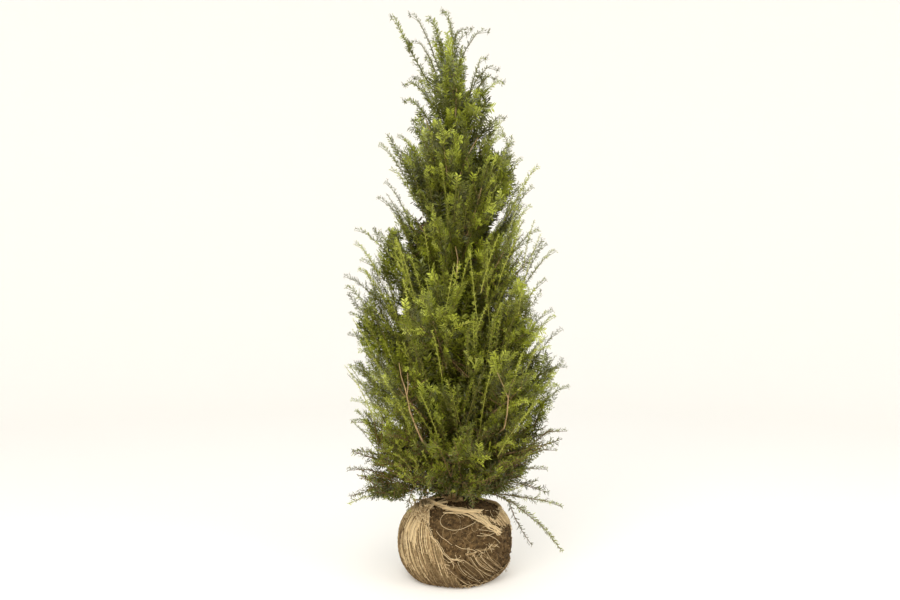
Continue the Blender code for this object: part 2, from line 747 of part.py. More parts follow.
def foliage(limb, space, sleeve, template, parts, finish):
    """One mass: a three-sided stem, its twigs' toothed sprays and its core, fused."""
    blade, corners = template
    line = limb.stem_line()
    start = BOUGH_TIP_RADIUS if limb.has_bough else TRUNK_BORNE_RADIUS
    if limb.name == "leader_centre":
        start = TRUNK_TIP_RADIUS
    last = len(line) - 1
    radii = [start + (STEM_TIP_RADIUS - start) * i / last for i in range(last + 1)]
    for seed in SEEDS:
        obj = tube("foliage_" + limb.name, line, radii, parts, finish, sides=3)
        pieces = bpy.data.collections.new(limb.name + " sprays")
        bpy.context.scene.collection.children.link(pieces)
        for i, twig in enumerate(twigs_of(limb, seed)):
            points = fitted_spray(corners, twig, limb, space)
            if points is not None:
                spray(blade, points, f"spray_{i}", pieces)
        core(limb, space, pieces)
        boolean(obj, "UNION", pieces, "MANIFOLD")
        if not limb.has_bough and limb.name != "leader_centre":
            boolean(obj, "DIFFERENCE", sleeve, "MANIFOLD")
        for piece in list(pieces.objects):
            bpy.data.objects.remove(piece, do_unlink=True)
        bpy.data.collections.remove(pieces)
        if tidied(obj):
            return obj
        bpy.data.objects.remove(obj, do_unlink=True)
    raise RuntimeError(f"no seed gives {limb.name} a closed shape")


def main():
    clear_scene()
    parts = new_collection("yew")
    cutters = new_collection("cutters")
    soil = material("soil", (0.085, 0.050, 0.026), 0.95)
    jute = material("jute", (0.430, 0.300, 0.150), 0.90)
    bark = material("bark", (0.280, 0.130, 0.060), 0.80)
    needles = material("needles", (0.070, 0.120, 0.022), 0.55)

    ball_shell("soil_ball", 0.0, parts, soil)
    jute_wrap(parts, cutters, jute)
    jute_rim(parts, jute)
    line, sizes = trunk_line_and_sizes()
    trunk = tube("trunk", line, sizes, parts, bark, sides=8)
    trunk.data.shade_smooth()
    sleeve = trunk_sleeve(line, sizes, cutters)
    limbs = crown_limbs()
    template = spray_template(cutters)
    space = CrownSpace(limbs, line, sizes)
    for limb in limbs:
        if limb.has_bough:
            bough(limb, sleeve, parts, bark)
        foliage(limb, space, sleeve, template, parts, needles)


main()
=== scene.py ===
"""The looks of a nursery yew: bark, shoots, needles, soil and torn jute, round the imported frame.

Metres, +Z up, in the frame's own place: -Y is the front and +X is to the right. The shoots grow
on from the limbs by the rule that the solids follow, carried to finer twigs.
"""

import math
import random

import bmesh
import bpy
import numpy as np
from mathutils import Matrix, Vector, noise


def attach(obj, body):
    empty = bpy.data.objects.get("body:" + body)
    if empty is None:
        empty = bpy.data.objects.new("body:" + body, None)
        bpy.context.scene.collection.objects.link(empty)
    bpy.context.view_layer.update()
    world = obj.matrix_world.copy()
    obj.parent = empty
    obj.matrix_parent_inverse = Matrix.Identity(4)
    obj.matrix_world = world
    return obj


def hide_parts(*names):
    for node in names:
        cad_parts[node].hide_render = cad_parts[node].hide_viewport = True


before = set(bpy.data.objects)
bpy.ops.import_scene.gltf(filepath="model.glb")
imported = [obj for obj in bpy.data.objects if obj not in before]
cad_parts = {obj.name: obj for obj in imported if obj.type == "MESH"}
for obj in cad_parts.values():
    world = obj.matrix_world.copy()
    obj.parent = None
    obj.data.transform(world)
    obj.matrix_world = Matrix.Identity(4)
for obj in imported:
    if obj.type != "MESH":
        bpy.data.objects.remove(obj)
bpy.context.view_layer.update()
FOLIAGE_NODES = sorted(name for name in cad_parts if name.startswith("foliage"))
BOUGH_NODES = sorted(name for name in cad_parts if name.startswith("bough"))
UP = Vector((0, 0, 1))
# Without a seed, the noise vectors differ from run to run
NOISE_SEED = 7
noise.seed_set(NOISE_SEED)

# The photo's frame at the trunk's depth, and the camera
PIXEL = 0.0033
CAMERA_AWAY = 3.2
CAMERA_PLACE = (-0.0165, -CAMERA_AWAY, 0.9116)
SENSOR = 36.0
FRAME_WIDTH = 900

# Root ball, as in the solids
BALL_WIDTH = 0.370
BALL_WAIST_HEIGHT = 0.116
GROUND_HEIGHT = 0.250
BALL_SHOULDER_RISE = 0.139
BALL_SHOULDER_POWER = 2.6
BALL_BELLY_DROP = 0.150
BALL_BELLY_POWER = 2.2
BALL_LUMP = 0.0035
WAIST = Vector((0, 0, BALL_WAIST_HEIGHT))
JUTE_THICKNESS = 0.0030
WRAP_GAP = 0.0004
MOUTH_CENTRE_X = 0.030
MOUTH_RADII = (0.125, 0.100)
RIM_RADIUS = 0.0065
LOWEST_YARN = 0.0036

# Trunk, as in the solids
TRUNK_TIP_HEIGHT = 1.560
TRUNK_BUTT_RADIUS = 0.0165
TRUNK_TIP_RADIUS = 0.0030
FLARE_RADIUS = 0.0110
FLARE_HEIGHT = 0.028
TRUNK_SWAY = 0.009

# Crown: its reach to the left and to the right by height, and its tiers of limbs, as in the
# solids. A tier's row has its name, count, first azimuth, share of the reach, foot, tip
# height, how far its elbow is raised, and whether a bare bough carries it.
CROWN_TOP = 1.866
CROWN_REACH = (
    (0.06, 0.350, 0.360), (0.245, 0.345, 0.345), (0.30, 0.345, 0.270), (0.36, 0.345, 0.280),
    (0.42, 0.345, 0.325), (0.50, 0.340, 0.365), (0.63, 0.350, 0.390), (0.75, 0.350, 0.370),
    (0.86, 0.355, 0.355), (0.93, 0.355, 0.310), (1.00, 0.345, 0.290), (1.09, 0.305, 0.300),
    (1.15, 0.265, 0.270), (1.22, 0.230, 0.250), (1.32, 0.225, 0.260), (1.40, 0.225, 0.220),
    (1.45, 0.230, 0.185), (1.51, 0.155, 0.155), (1.57, 0.145, 0.130), (1.63, 0.145, 0.115),
    (1.72, 0.140, 0.085), (1.80, 0.140, 0.050), (1.87, 0.200, 0.050),
)
TIERS = (
    ("skirt", 4, 4.0, 1.00, 0.300, 0.255, 0.045, False),
    ("low", 5, 196.0, 1.00, 0.345, 0.450, 0.000, True),
    ("inner_low", 2, 95.0, 0.50, 0.400, 0.620, 0.000, False),
    ("side", 5, 18.0, 1.00, 0.450, 0.690, 0.000, True),
    ("inner_mid", 2, 5.0, 0.50, 0.700, 0.900, 0.000, False),
    ("upper_side", 5, 180.0, 1.00, 0.640, 0.940, -0.020, False),
    ("inner_high", 2, 95.0, 0.50, 0.820, 1.120, 0.000, False),
    ("shoulder", 4, 2.0, 1.00, 0.850, 1.125, 0.000, False),
    ("high", 4, 20.0, 1.00, 1.020, 1.340, 0.000, False),
    ("higher", 4, -10.0, 1.00, 1.190, 1.455, 0.000, False),
    ("highest", 4, 8.0, 1.00, 1.340, 1.650, 0.000, False),
)
TRAILING = (-23.0, 0.365, 0.120)
TRAILING_FOOT_RISE = 0.040
TRAILING_ELBOW = 0.075
LEADERS = (("leader_left", 172.0, 0.200, 1.852), ("leader_right", -25.0, 0.105, 1.812))
LEADER_FOOT_HEIGHT = 1.480
CENTRE_LEADER_TIP = (-0.033, 0.004, 1.865)
CENTRE_LEADER_ELBOW = 0.120
LIMB_STEPS = 10
BOUGH_STEPS = 4
ELBOW_OUT = 0.60
ELBOW_UP = 0.30
BOUGH_BUTT_RADIUS = 0.0070
TRUNK_BORNE_RADIUS = 0.0050
STEM_TIP_RADIUS = 0.0016
AZIMUTH_JITTER = 7.0
TURNS_ASIDE = (0, 9, -9, 18, -18, 27, -27, 36, -36)
LIMB_SPACING = 0.032
TIP_JITTER = 0.025
FOOT_SPREAD = 0.050
SKIRT_HEIGHT = (0.215, 0.290)
SKIRT_TIP_RISE = 0.015
SLENDER = 0.33
GOLDEN_TURN = math.radians(137.508)

# Room that the shoots leave. Needles stand out of their shoots by a little more.
SHOOT_REACH = 0.85
REACH_SLACK = 0.004
SPACE_MARGIN = 0.002
LIMB_MARGIN = 0.0040
BALL_MARGIN = 1.08
FLOOR_MARGIN = 0.012

# Twigs up a limb's stem, and the side shoots of each twig
TWIG_FIRST = 0.04
TWIG_LAST = 0.95
TWIG_SPACING = 0.0160
TWIG_SPLAY = math.radians(46.0)
TWIG_LENGTH = 0.230
TWIG_LENGTH_AT_TIP = 0.120
TWIG_LIFTS = ((0.25, 0.05), (0.45, 0.30), (0.80, 0.55), (1.90, 0.60))
TWIG_STEPS = 8
SHORTEST_TWIG = 0.035
SPRAY_ROLL = math.radians(50.0)
SIDE_FIRST = 0.14
SIDE_SPACING = 0.0115
SIDE_SPLAY = math.radians(44.0)
SIDE_LENGTH = 0.082
SIDE_LENGTH_AT_TIP = 0.36
SIDE_LIFT = 0.14
SIDE_STEPS = 4
SHORTEST_SIDE = 0.014

# The gap in the foliage over the trunk's foot: from x to x, in front of y and under the height
FOOT_GAP = (-0.075, 0.032, -0.045, 0.305)

# Bays in the crown's outline, and bulges, in front view: on the right or on the left, the height
# of each, its half height, and the share of the reach that it takes away
BAYS = (
    (1, 1.345, 0.030, 0.12), (1, 1.130, 0.030, -0.20), (1, 1.030, 0.045, 0.24),
    (1, 0.870, 0.045, 0.14), (1, 0.270, 0.040, 0.14), (-1, 1.453, 0.030, 0.26),
    (-1, 1.360, 0.040, 0.06), (-1, 1.165, 0.025, 0.12), (-1, 0.985, 0.055, 0.08),
    (-1, 0.700, 0.130, -0.14), (-1, 0.400, 0.120, -0.08),
)
LUMPS = 0.060
# The share of the plumes that get a tone of painted shade, by height
PAINTED_SHADE_SHARES = (
    (0.38, 1.0), (0.45, 0.6), (0.60, 0.5), (0.80, 0.4), (0.95, 0.2), (1.25, 0.2), (1.40, 0.4),
)
# The hollow in the crown's upper front, for painted shade: from x to x, and from height to height
SHADED_HOLLOW = (-0.060, 0.045, 1.120, 1.520)
# Gaps in front view where the sky shows through the crown: x and height, and half its width and
# height
SKY_GAPS = (
    (0.046, 1.628, 0.014, 0.024), (0.030, 1.702, 0.006, 0.026), (-0.122, 1.640, 0.020, 0.018),
    (-0.113, 1.565, 0.016, 0.024), (-0.080, 1.496, 0.008, 0.010), (-0.129, 1.430, 0.014, 0.008),
    (-0.175, 1.424, 0.010, 0.008), (0.144, 1.418, 0.020, 0.020), (-0.190, 1.312, 0.012, 0.014),
    (-0.173, 1.272, 0.012, 0.014), (-0.156, 1.236, 0.012, 0.014), (-0.130, 1.196, 0.012, 0.012),
    (-0.106, 1.172, 0.010, 0.008), (-0.166, 1.104, 0.006, 0.008), (-0.246, 1.087, 0.010, 0.008),
    (-0.180, 0.876, 0.005, 0.007), (0.122, 1.153, 0.008, 0.009), (0.146, 1.192, 0.009, 0.009),
    (0.248, 0.972, 0.014, 0.006), (0.138, 0.244, 0.052, 0.020), (0.229, 0.242, 0.034, 0.017),
    (-0.127, 0.259, 0.013, 0.008), (-0.281, 0.351, 0.008, 0.005),
)
SKY_MARGIN = 0.006

# Leafy plumes: how far each leans from upright and how long it is, by the height of its tip,
# and the side shoots all round it
PLUME_LEANS = ((0.25, 76.0), (0.40, 58.0), (0.60, 38.0), (1.00, 24.0), (1.40, 17.0), (1.90, 12.0))
PLUME_LENGTHS = ((0.25, 0.15), (0.60, 0.24), (1.20, 0.23), (1.80, 0.14))
PLUME_ARCH = math.radians(11.0)
PLUME_STEPS = 10
PLUME_THICKNESS = 0.0014
PLUME_SIDE_SPACING = 0.0115
PLUME_SIDES = (0.054, 0.013)
PLUME_SPLAY = (24.0, 46.0)
# How many tones lighter a plume's side shoots are than the plume
SIDE_TONES = (-2, -1, -1, 0, 0, 1)
# The step that spreads the plumes' heights evenly while the golden turn spreads their azimuths
EVEN_STEP = 0.754878

# Needles of the real length, in two ranks on side shoots and all round on leading ones
NEEDLE_LENGTH = 0.021
NEEDLE_SPLAY = math.radians(56.0)

# Needle colours, from the crown's inside to this year's shoots, and how far out each one begins
# as a share of the crown's reach. The darker inner tones are partly the older needles' own colour
# and partly painted shade.
TONES = (
    ("needles_shade", (0.044, 0.051, 0.003), 0.00),
    ("needles_deep", (0.100, 0.118, 0.007), 0.50),
    ("needles_mature", (0.190, 0.222, 0.015), 0.76),
    ("needles_fresh", (0.335, 0.386, 0.036), 1.02),
    ("needles_young", (0.490, 0.548, 0.092), 1.34),
)
SHADE, DEEP, MATURE, FRESH, NEW = range(5)
TONE_JITTER = 0.36
# Painted shade: how much of the depth the lowest and the highest shoots lose, by height
PAINTED_SHADE_BY_HEIGHT = ((0.30, 0.28), (0.42, 0.05), (1.20, 0.06), (1.35, 0.15), (1.55, 0.20))
NEEDLE_ROUGHNESS = 0.38
NEEDLE_GLOSS = 0.42
TONE_SIZES = (1.25, 0.95, 0.72, 0.62, 0.56)
TONE_SPACINGS = (0.0034, 0.0028, 0.0024, 0.0024, 0.0024)
TONE_WIDTHS = (0.0036, 0.0036, 0.0040, 0.0040, 0.0040)
# Wood by what it carries: bare and brown, green, or this year's and bright
WOODS = (
    ("twigs_brown", (0.150, 0.090, 0.042)),
    ("twigs_green", (0.120, 0.112, 0.022)),
    ("twigs_young", (0.370, 0.380, 0.075)),
)
BROWN, GREEN, YOUNG = range(3)
BROWN_BELOW = 0.52

# The crown's plumes: how many, between which heights, the share of the reach at their tips, the
# size of their needles at the foot and at the end, their tones, and how long their side shoots
# are. The outer ones make the crown's surface. The inner and the low ones fill the space behind
# them in dark tones, partly painted shade.
OUTER_TONES = (DEEP, MATURE, MATURE, FRESH, FRESH, FRESH)
PLUME_KINDS = (
    ("inner", 210, (0.46, 1.45), (0.22, 0.72), (1.35, 1.15), (SHADE, SHADE, DEEP), PLUME_SIDES),
    ("low", 64, (0.30, 0.46), (0.40, 0.88), (1.15, 0.95), (SHADE, DEEP, DEEP), PLUME_SIDES),
    ("outer", 210, (0.30, 1.46), (0.74, 0.92), (0.60, 0.44), OUTER_TONES, PLUME_SIDES),
    ("slender", 230, (0.30, 1.46), (0.78, 1.00), (0.46, 0.32), (MATURE, FRESH, FRESH, NEW),
     (0.014, 0.005)),
)
# The leafy end of each limb's stem: from which of its steps on, its needles and side shoots, and
# the height above which it is lighter
END_FROM = 6
END_NEEDLES = (0.90, 0.60)
END_SIDES = (0.050, 0.012)
END_LIGHT_ABOVE = 1.40
# The trailing shoot, past its first steps: its needles, side shoots and thickness
TRAILING_FROM = 3
TRAILING_NEEDLES = (0.66, 0.50)
TRAILING_SIDES = (0.030, 0.010)
TRAILING_THICKNESS = 0.0016


# The rule of the solids

def turned(azimuth, reach, height):
    """The point at that azimuth in degrees, distance from the Z axis and height."""
    angle = math.radians(azimuth)
    return Vector((reach * math.cos(angle), reach * math.sin(angle), height))


def ball_point(direction, offset):
    """Where a ray from the waist's centre meets the ball's surface, moved out by offset."""
    x, y, z = direction
    level = math.hypot(x, y)
    rise, power = BALL_SHOULDER_RISE, BALL_SHOULDER_POWER
    if z < 0:
        rise, power = BALL_BELLY_DROP, BALL_BELLY_POWER
    spread = (level / (BALL_WIDTH / 2)) ** power + (abs(z) / rise) ** power
    size = spread ** (-1 / power)
    around = math.atan2(y, x)
    lump = math.sin(3 * around + 1.0 + 2.2 * z) + 0.6 * math.sin(5 * around - 2.0 + 4 * z)
    size += (BALL_LUMP * lump * level + offset) / math.sqrt(level * level + z * z)
    top = GROUND_HEIGHT - BALL_WAIST_HEIGHT + offset
    foot = -BALL_WAIST_HEIGHT + max(JUTE_THICKNESS + WRAP_GAP - offset, LOWEST_YARN)
    flat_z = min(max(z * size, foot), top)
    return Vector((x * size, y * size, BALL_WAIST_HEIGHT + flat_z))


def crown_reach(height, azimuth):
    """How far the crown reaches from the trunk's line at that height and azimuth."""
    heights, left, right = zip(*CROWN_REACH)
    toward_right = (1 + np.cos(np.radians(azimuth))) / 2
    on_left = np.interp(height, heights, left)
    on_right = np.interp(height, heights, right)
    return on_left + (on_right - on_left) * toward_right


def filled_share(height, azimuth):
    """The share of its reach that the crown's mass fills there: its bays, bulges and lumps."""
    angle = np.radians(azimuth)
    lumps = np.sin(4 * angle + 9 * height + 1) + np.sin(7 * angle - 19 * height)
    share = 1 - LUMPS * (0.3 - 0.5 * lumps)
    for side, middle, half, cut in BAYS:
        facing = np.maximum(side * np.cos(angle), 0) ** 2
        share = share - cut * facing * np.exp(-(((height - middle) / half) ** 2))
    return share


def skirt_height(azimuth):
    """The height of the crown's lowest foliage. It is lower at the back."""
    back, front = SKIRT_HEIGHT
    return back + (front - back) * (1 - np.sin(np.radians(azimuth))) / 2


def trunk_point(height):
    up = (height - GROUND_HEIGHT) / (TRUNK_TIP_HEIGHT - GROUND_HEIGHT)
    sway = TRUNK_SWAY * min(1.0, 6 * up)
    return Vector((sway * math.sin(5.2 * up), 0.7 * sway * math.sin(7.0 * up), height))


def trunk_radius(height):
    up = (height - GROUND_HEIGHT) / (TRUNK_TIP_HEIGHT - GROUND_HEIGHT)
    flare = FLARE_RADIUS * math.exp(-(height - GROUND_HEIGHT) / FLARE_HEIGHT)
    return TRUNK_BUTT_RADIUS + (TRUNK_TIP_RADIUS - TRUNK_BUTT_RADIUS) * up ** 0.9 + flare


def bent_path(foot, shoulder, tip, points):
    """A curve from foot to tip, drawn towards shoulder on the way."""
    places = []
    for i in range(points + 1):
        t = i / points
        places.append(foot * (1 - t) ** 2 + shoulder * 2 * t * (1 - t) + tip * t * t)
    return places


class Limb:
    """One limb of the crown: its whole line, and where its bare bough ends."""

    def __init__(self, name, foot, elbow, tip, has_bough=False, fullness=1.0):
        self.name = name
        self.has_bough = has_bough
        self.fullness = fullness
        self.line = bent_path(foot, elbow, tip, LIMB_STEPS)
        self.split = BOUGH_STEPS if has_bough else 0


def elbow_between(foot, tip, raised=0.0):
    elbow = foot.lerp(tip, ELBOW_OUT)
    elbow.z = foot.z + (tip.z - foot.z) * ELBOW_UP + raised
    return elbow


def straight_pieces(line):
    places = np.asarray(line)
    return places[:-1], places[1:] - places[:-1]


def gaps(points, starts, spans):
    """The distance from each point to each straight piece, as a table."""
    reach = points[:, None, :] - starts[None, :, :]
    share = np.clip((reach * spans).sum(axis=2) / (spans * spans).sum(axis=1), 0, 1)
    return np.linalg.norm(reach - share[:, :, None] * spans, axis=2)


def spaced_limb(name, azimuth, share, foot, tip_height, raised, has_bough, others):
    """A limb at that azimuth, or turned aside a little where another is in its way."""
    best, best_room = None, -1.0
    for aside in TURNS_ASIDE:
        turn = azimuth + aside
        tip = turned(turn, crown_reach(tip_height, turn) * share, tip_height)
        tip.z = max(tip.z, skirt_height(turn) + SKIRT_TIP_RISE)
        limb = Limb(name, foot, elbow_between(foot, tip, raised), tip, has_bough)
        outer = np.asarray(limb.line[2:])
        rooms = [gaps(outer, *straight_pieces(other.line)).min() for other in others]
        room = min(rooms, default=LIMB_SPACING)
        if room > best_room:
            best, best_room = limb, room
        if room >= LIMB_SPACING:
            break
    return best


def crown_limbs():
    """Every limb, tier by tier, then the trailing shoot and the leaders."""
    limbs = []
    for tier, count, first, share, foot_height, tip_height, raised, has_bough in TIERS:
        chance = random.Random(tier)
        for i in range(count):
            azimuth = first + 360 * i / count + chance.uniform(-1, 1) * AZIMUTH_JITTER
            tip_at = tip_height + chance.uniform(-1, 1) * TIP_JITTER
            foot = trunk_point(foot_height + FOOT_SPREAD * (2 * i % count) / count)
            place = (azimuth, share, foot, tip_at, raised, has_bough)
            limbs.append(spaced_limb(f"{tier}_{i + 1}", *place, limbs))
    foot = trunk_point(GROUND_HEIGHT + TRAILING_FOOT_RISE)
    tip = turned(*TRAILING)
    elbow = elbow_between(foot, tip, TRAILING_ELBOW)
    limbs.append(Limb("trailing", foot, elbow, tip, fullness=SLENDER))
    for name, azimuth, reach, tip_height in LEADERS:
        foot, tip = trunk_point(LEADER_FOOT_HEIGHT), turned(azimuth, reach, tip_height)
        limbs.append(Limb(name, foot, elbow_between(foot, tip), tip, fullness=SLENDER))
    foot = trunk_point(TRUNK_TIP_HEIGHT)
    elbow = foot + Vector((0, 0, CENTRE_LEADER_ELBOW))
    limbs.append(Limb("leader_centre", foot, elbow, Vector(CENTRE_LEADER_TIP)))
    return limbs


class CrownSpace:
    """Which points belong to which limb: the nearest one's, and off the wood and the ball."""

    def __init__(self, limbs, trunk_line, trunk_sizes):
        ends = [straight_pieces(limb.line) for limb in limbs]
        self.starts = np.concatenate([start for start, _ in ends])
        self.spans = np.concatenate([span for _, span in ends])
        self.owner = np.repeat([limb.name for limb in limbs], LIMB_STEPS)
        steps = range(LIMB_STEPS)
        self.bare = np.array([step < limb.split for limb in limbs for step in steps])
        self.trunk = straight_pieces(trunk_line)
        self.trunk_heights = [place.z for place in trunk_line]
        self.trunk_sizes = trunk_sizes

    def holds(self, points, limb, reach_share):
        """For each point, whether it is in the limb's own space."""
        table = gaps(points, self.starts, self.spans)
        own = self.owner == limb.name
        kept = table[:, ~own].min(axis=1) > table[:, own].min(axis=1) + SPACE_MARGIN
        kept &= table[:, self.bare].min(axis=1) > BOUGH_BUTT_RADIUS + LIMB_MARGIN
        girth = np.interp(points[:, 2], self.trunk_heights, self.trunk_sizes)
        kept &= gaps(points, *self.trunk).min(axis=1) > girth + LIMB_MARGIN
        return kept & off_ball(points) & in_crown(points, limb, reach_share)


def off_ball(points):
    level = np.hypot(points[:, 0], points[:, 1]) / (BALL_WIDTH / 2)
    z = points[:, 2] - BALL_WAIST_HEIGHT
    rise = np.where(z > 0, BALL_SHOULDER_RISE, BALL_BELLY_DROP)
    power = BALL_SHOULDER_POWER
    return level ** power + (np.abs(z) / rise) ** power > BALL_MARGIN ** power


def in_crown(points, limb, reach_share):
    x, y, z = points.T
    azimuth = np.degrees(np.arctan2(y, x))
    floor = FLOOR_MARGIN if limb.name == "trailing" else skirt_height(azimuth)
    reach = crown_reach(z, azimuth) * filled_share(z, azimuth) * reach_share
    within = np.hypot(x, y) < reach + REACH_SLACK
    return within & (z > floor) & (z < CROWN_TOP)


def place_on(line, distance):
    """The point and the heading at that distance along a line of straight pieces."""
    for a, b in zip(line[:-1], line[1:]):
        step = (b - a).length
        if distance <= step:
            return a.lerp(b, distance / step), (b - a).normalized()
        distance -= step
    return line[-1].copy(), (line[-1] - line[-2]).normalized()


def line_length(line):
    return sum((b - a).length for a, b in zip(line[:-1], line[1:]))


def by_height(table, height):
    """The value at that height, from rows of a height and a value."""
    return float(np.interp(height, *zip(*table)))


def share_between(limits, share):
    return limits[0] + (limits[1] - limits[0]) * share


def outward_of(place):
    """The level direction from the trunk's line to a place."""
    return Vector((place.x, place.y, 0)).normalized()


# Node trees and materials

class Wiring:
    """Adds nodes to a tree and joins them, so that a tree reads as a list of formulas."""

    def __init__(self, tree):
        self.tree = tree

    def add(self, kind, given=None, **settings):
        node = self.tree.nodes.new(kind)
        for name, value in settings.items():
            setattr(node, name, value)
        for name, value in (given or {}).items():
            self.set(node.inputs[name], value)
        return node

    def set(self, socket, value):
        if isinstance(value, bpy.types.Node):
            value = next(out for out in value.outputs if out.enabled)
        if isinstance(value, bpy.types.NodeSocket):
            self.tree.links.new(value, socket)
        else:
            socket.default_value = value

    def math(self, operation, a, b=0.0):
        return self.add("ShaderNodeMath", {0: a, 1: b}, operation=operation)

    def vector(self, operation, a, b=(0, 0, 0)):
        return self.add("ShaderNodeVectorMath", {0: a, 1: b}, operation=operation)

    def scaled(self, vector, by):
        return self.add("ShaderNodeVectorMath", {0: vector, "Scale": by}, operation="SCALE")

    def attribute(self, name, kind="FLOAT"):
        return self.add("GeometryNodeInputNamedAttribute", {"Name": name}, data_type=kind)

    def random(self, low, high, seed):
        return self.add(
            "FunctionNodeRandomValue", {2: low, 3: high, "Seed": seed}, data_type="FLOAT"
        ).outputs[1]

    def random_vector(self, low, high):
        return self.add(
            "FunctionNodeRandomValue", {0: (low,) * 3, 1: (high,) * 3}, data_type="FLOAT_VECTOR"
        ).outputs[0]


def new_tree(name, inputs):
    """A Geometry Nodes tree with named inputs, its wiring, its inputs and its output."""
    tree = bpy.data.node_groups.new(name, "GeometryNodeTree")
    sockets = tree.interface
    sockets.new_socket("Geometry", in_out="INPUT", socket_type="NodeSocketGeometry")
    for label, kind in inputs:
        sockets.new_socket(label, in_out="INPUT", socket_type="NodeSocket" + kind)
    sockets.new_socket("Geometry", in_out="OUTPUT", socket_type="NodeSocketGeometry")
    wiring = Wiring(tree)
    given = wiring.add("NodeGroupInput").outputs
    return tree, wiring, given


def close_tree(wiring, geometry, given):
    """Ends a tree in Realize Instances and Set Material."""
    real = wiring.add("GeometryNodeRealizeInstances", {"Geometry": geometry})
    worn = wiring.add("GeometryNodeSetMaterial", {"Geometry": real, "Material": given["Material"]})
    wiring.add("NodeGroupOutput", {"Geometry": worn})


def grown(obj, name, tree, values):
    """The object's shape after a node tree, as a plain mesh of that name. obj is removed."""
    change = obj.modifiers.new(tree.name, "NODES")
    change.node_group = tree
    for socket in tree.interface.items_tree:
        if socket.in_out == "INPUT" and socket.name in values:
            change[socket.identifier] = values[socket.name]
    bpy.context.view_layer.update()
    graph = bpy.context.evaluated_depsgraph_get()
    mesh = bpy.data.meshes.new_from_object(obj.evaluated_get(graph))
    bpy.data.objects.remove(obj, do_unlink=True)
    mesh.name = name
    return add_object(name, mesh)


def add_object(name, data, finish=None):
    made = bpy.data.objects.new(name, data)
    bpy.context.scene.collection.objects.link(made)
    if finish:
        data.materials.clear()
        data.materials.append(finish)
    return made


def mesh_object(name, points, faces, finish=None, smooth=True):
    mesh = bpy.data.meshes.new(name)
    mesh.from_pydata([tuple(point) for point in points], [], [tuple(face) for face in faces])
    mesh.update()
    if smooth:
        mesh.shade_smooth()
    return add_object(name, mesh, finish)


def finish_of(name, colour, roughness, specular=0.5):
    """A material with a Principled BSDF, its wiring and that shader."""
    made = bpy.data.materials.new(name)
    made.use_nodes = True
    shader = made.node_tree.nodes["Principled BSDF"]
    shader.inputs["Base Color"].default_value = (*colour, 1)
    shader.inputs["Roughness"].default_value = roughness
    shader.inputs["Specular IOR Level"].default_value = specular
    return made, Wiring(made.node_tree), shader


def group_of(name, inputs, outputs):
    """A shader node group with named inputs, its wiring, its inputs and its outputs."""
    tree = bpy.data.node_groups.new(name, "ShaderNodeTree")
    for label, kind, value in inputs:
        made = tree.interface.new_socket(label, in_out="INPUT", socket_type="NodeSocket" + kind)
        made.default_value = value
    for label, kind in outputs:
        tree.interface.new_socket(label, in_out="OUTPUT", socket_type="NodeSocket" + kind)
    wiring = Wiring(tree)
    given = wiring.add("NodeGroupInput").outputs
    out = wiring.add("NodeGroupOutput").inputs
    return tree, wiring, given, out


def use_group(wiring, tree, values):
    node = wiring.add("ShaderNodeGroup", node_tree=tree)
    for name, value in values.items():
        wiring.set(node.inputs[name], value)
    return node.outputs


def mottled_finish(name, colour, roughness, specular, mottle, values, strength, depth):
    """A finish whose colour and relief follow the mottle, the relief that strong and deep."""
    made, wiring, shader = finish_of(name, colour, roughness, specular)
    skin = use_group(wiring, mottle, values)
    relief = {"Height": skin["Height"], "Strength": strength, "Distance": depth}
    wiring.set(shader.inputs["Base Color"], skin["Color"])
    wiring.set(shader.inputs["Normal"], wiring.add("ShaderNodeBump", relief))
    return made


# Shader groups that several finishes use

def mottle_group():
    """Patches and fine grain: a colour between a dark and a light one, and a height."""
    tree, wiring, given, out = group_of(
        "mottle",
        (
            ("Dark", "Color", (0, 0, 0, 1)), ("Light", "Color", (1, 1, 1, 1)),
            ("Patch Scale", "Float", 20.0), ("Grain Scale", "Float", 200.0),
            ("Contrast", "Float", 1.0), ("Stretch", "Vector", (1, 1, 1)),
        ),
        (("Color", "Color"), ("Height", "Float")),
    )
    place = wiring.add("ShaderNodeTexCoord").outputs["Object"]
    pulled = wiring.vector("MULTIPLY", place, given["Stretch"])
    patch = wiring.add(
        "ShaderNodeTexNoise", {"Vector": pulled, "Scale": given["Patch Scale"], "Detail": 4.0}
    ).outputs["Fac"]
    grain = wiring.add(
        "ShaderNodeTexNoise", {"Vector": pulled, "Scale": given["Grain Scale"], "Detail": 6.0}
    ).outputs["Fac"]
    both = wiring.math("ADD", wiring.math("MULTIPLY", patch, 0.6), wiring.math("MULTIPLY", grain, 0.4))
    centred = wiring.math("MULTIPLY", wiring.math("SUBTRACT", both, 0.5), given["Contrast"])
    share = wiring.math("ADD", centred, 0.5)
    share.use_clamp = True
    mixed = wiring.add("ShaderNodeMix", data_type="RGBA")
    wiring.set(mixed.inputs["Factor"], share)
    wiring.set(mixed.inputs[6], given["Dark"])
    wiring.set(mixed.inputs[7], given["Light"])
    wiring.set(out["Color"], mixed.outputs[2])
    wiring.set(out["Height"], both)
    return tree


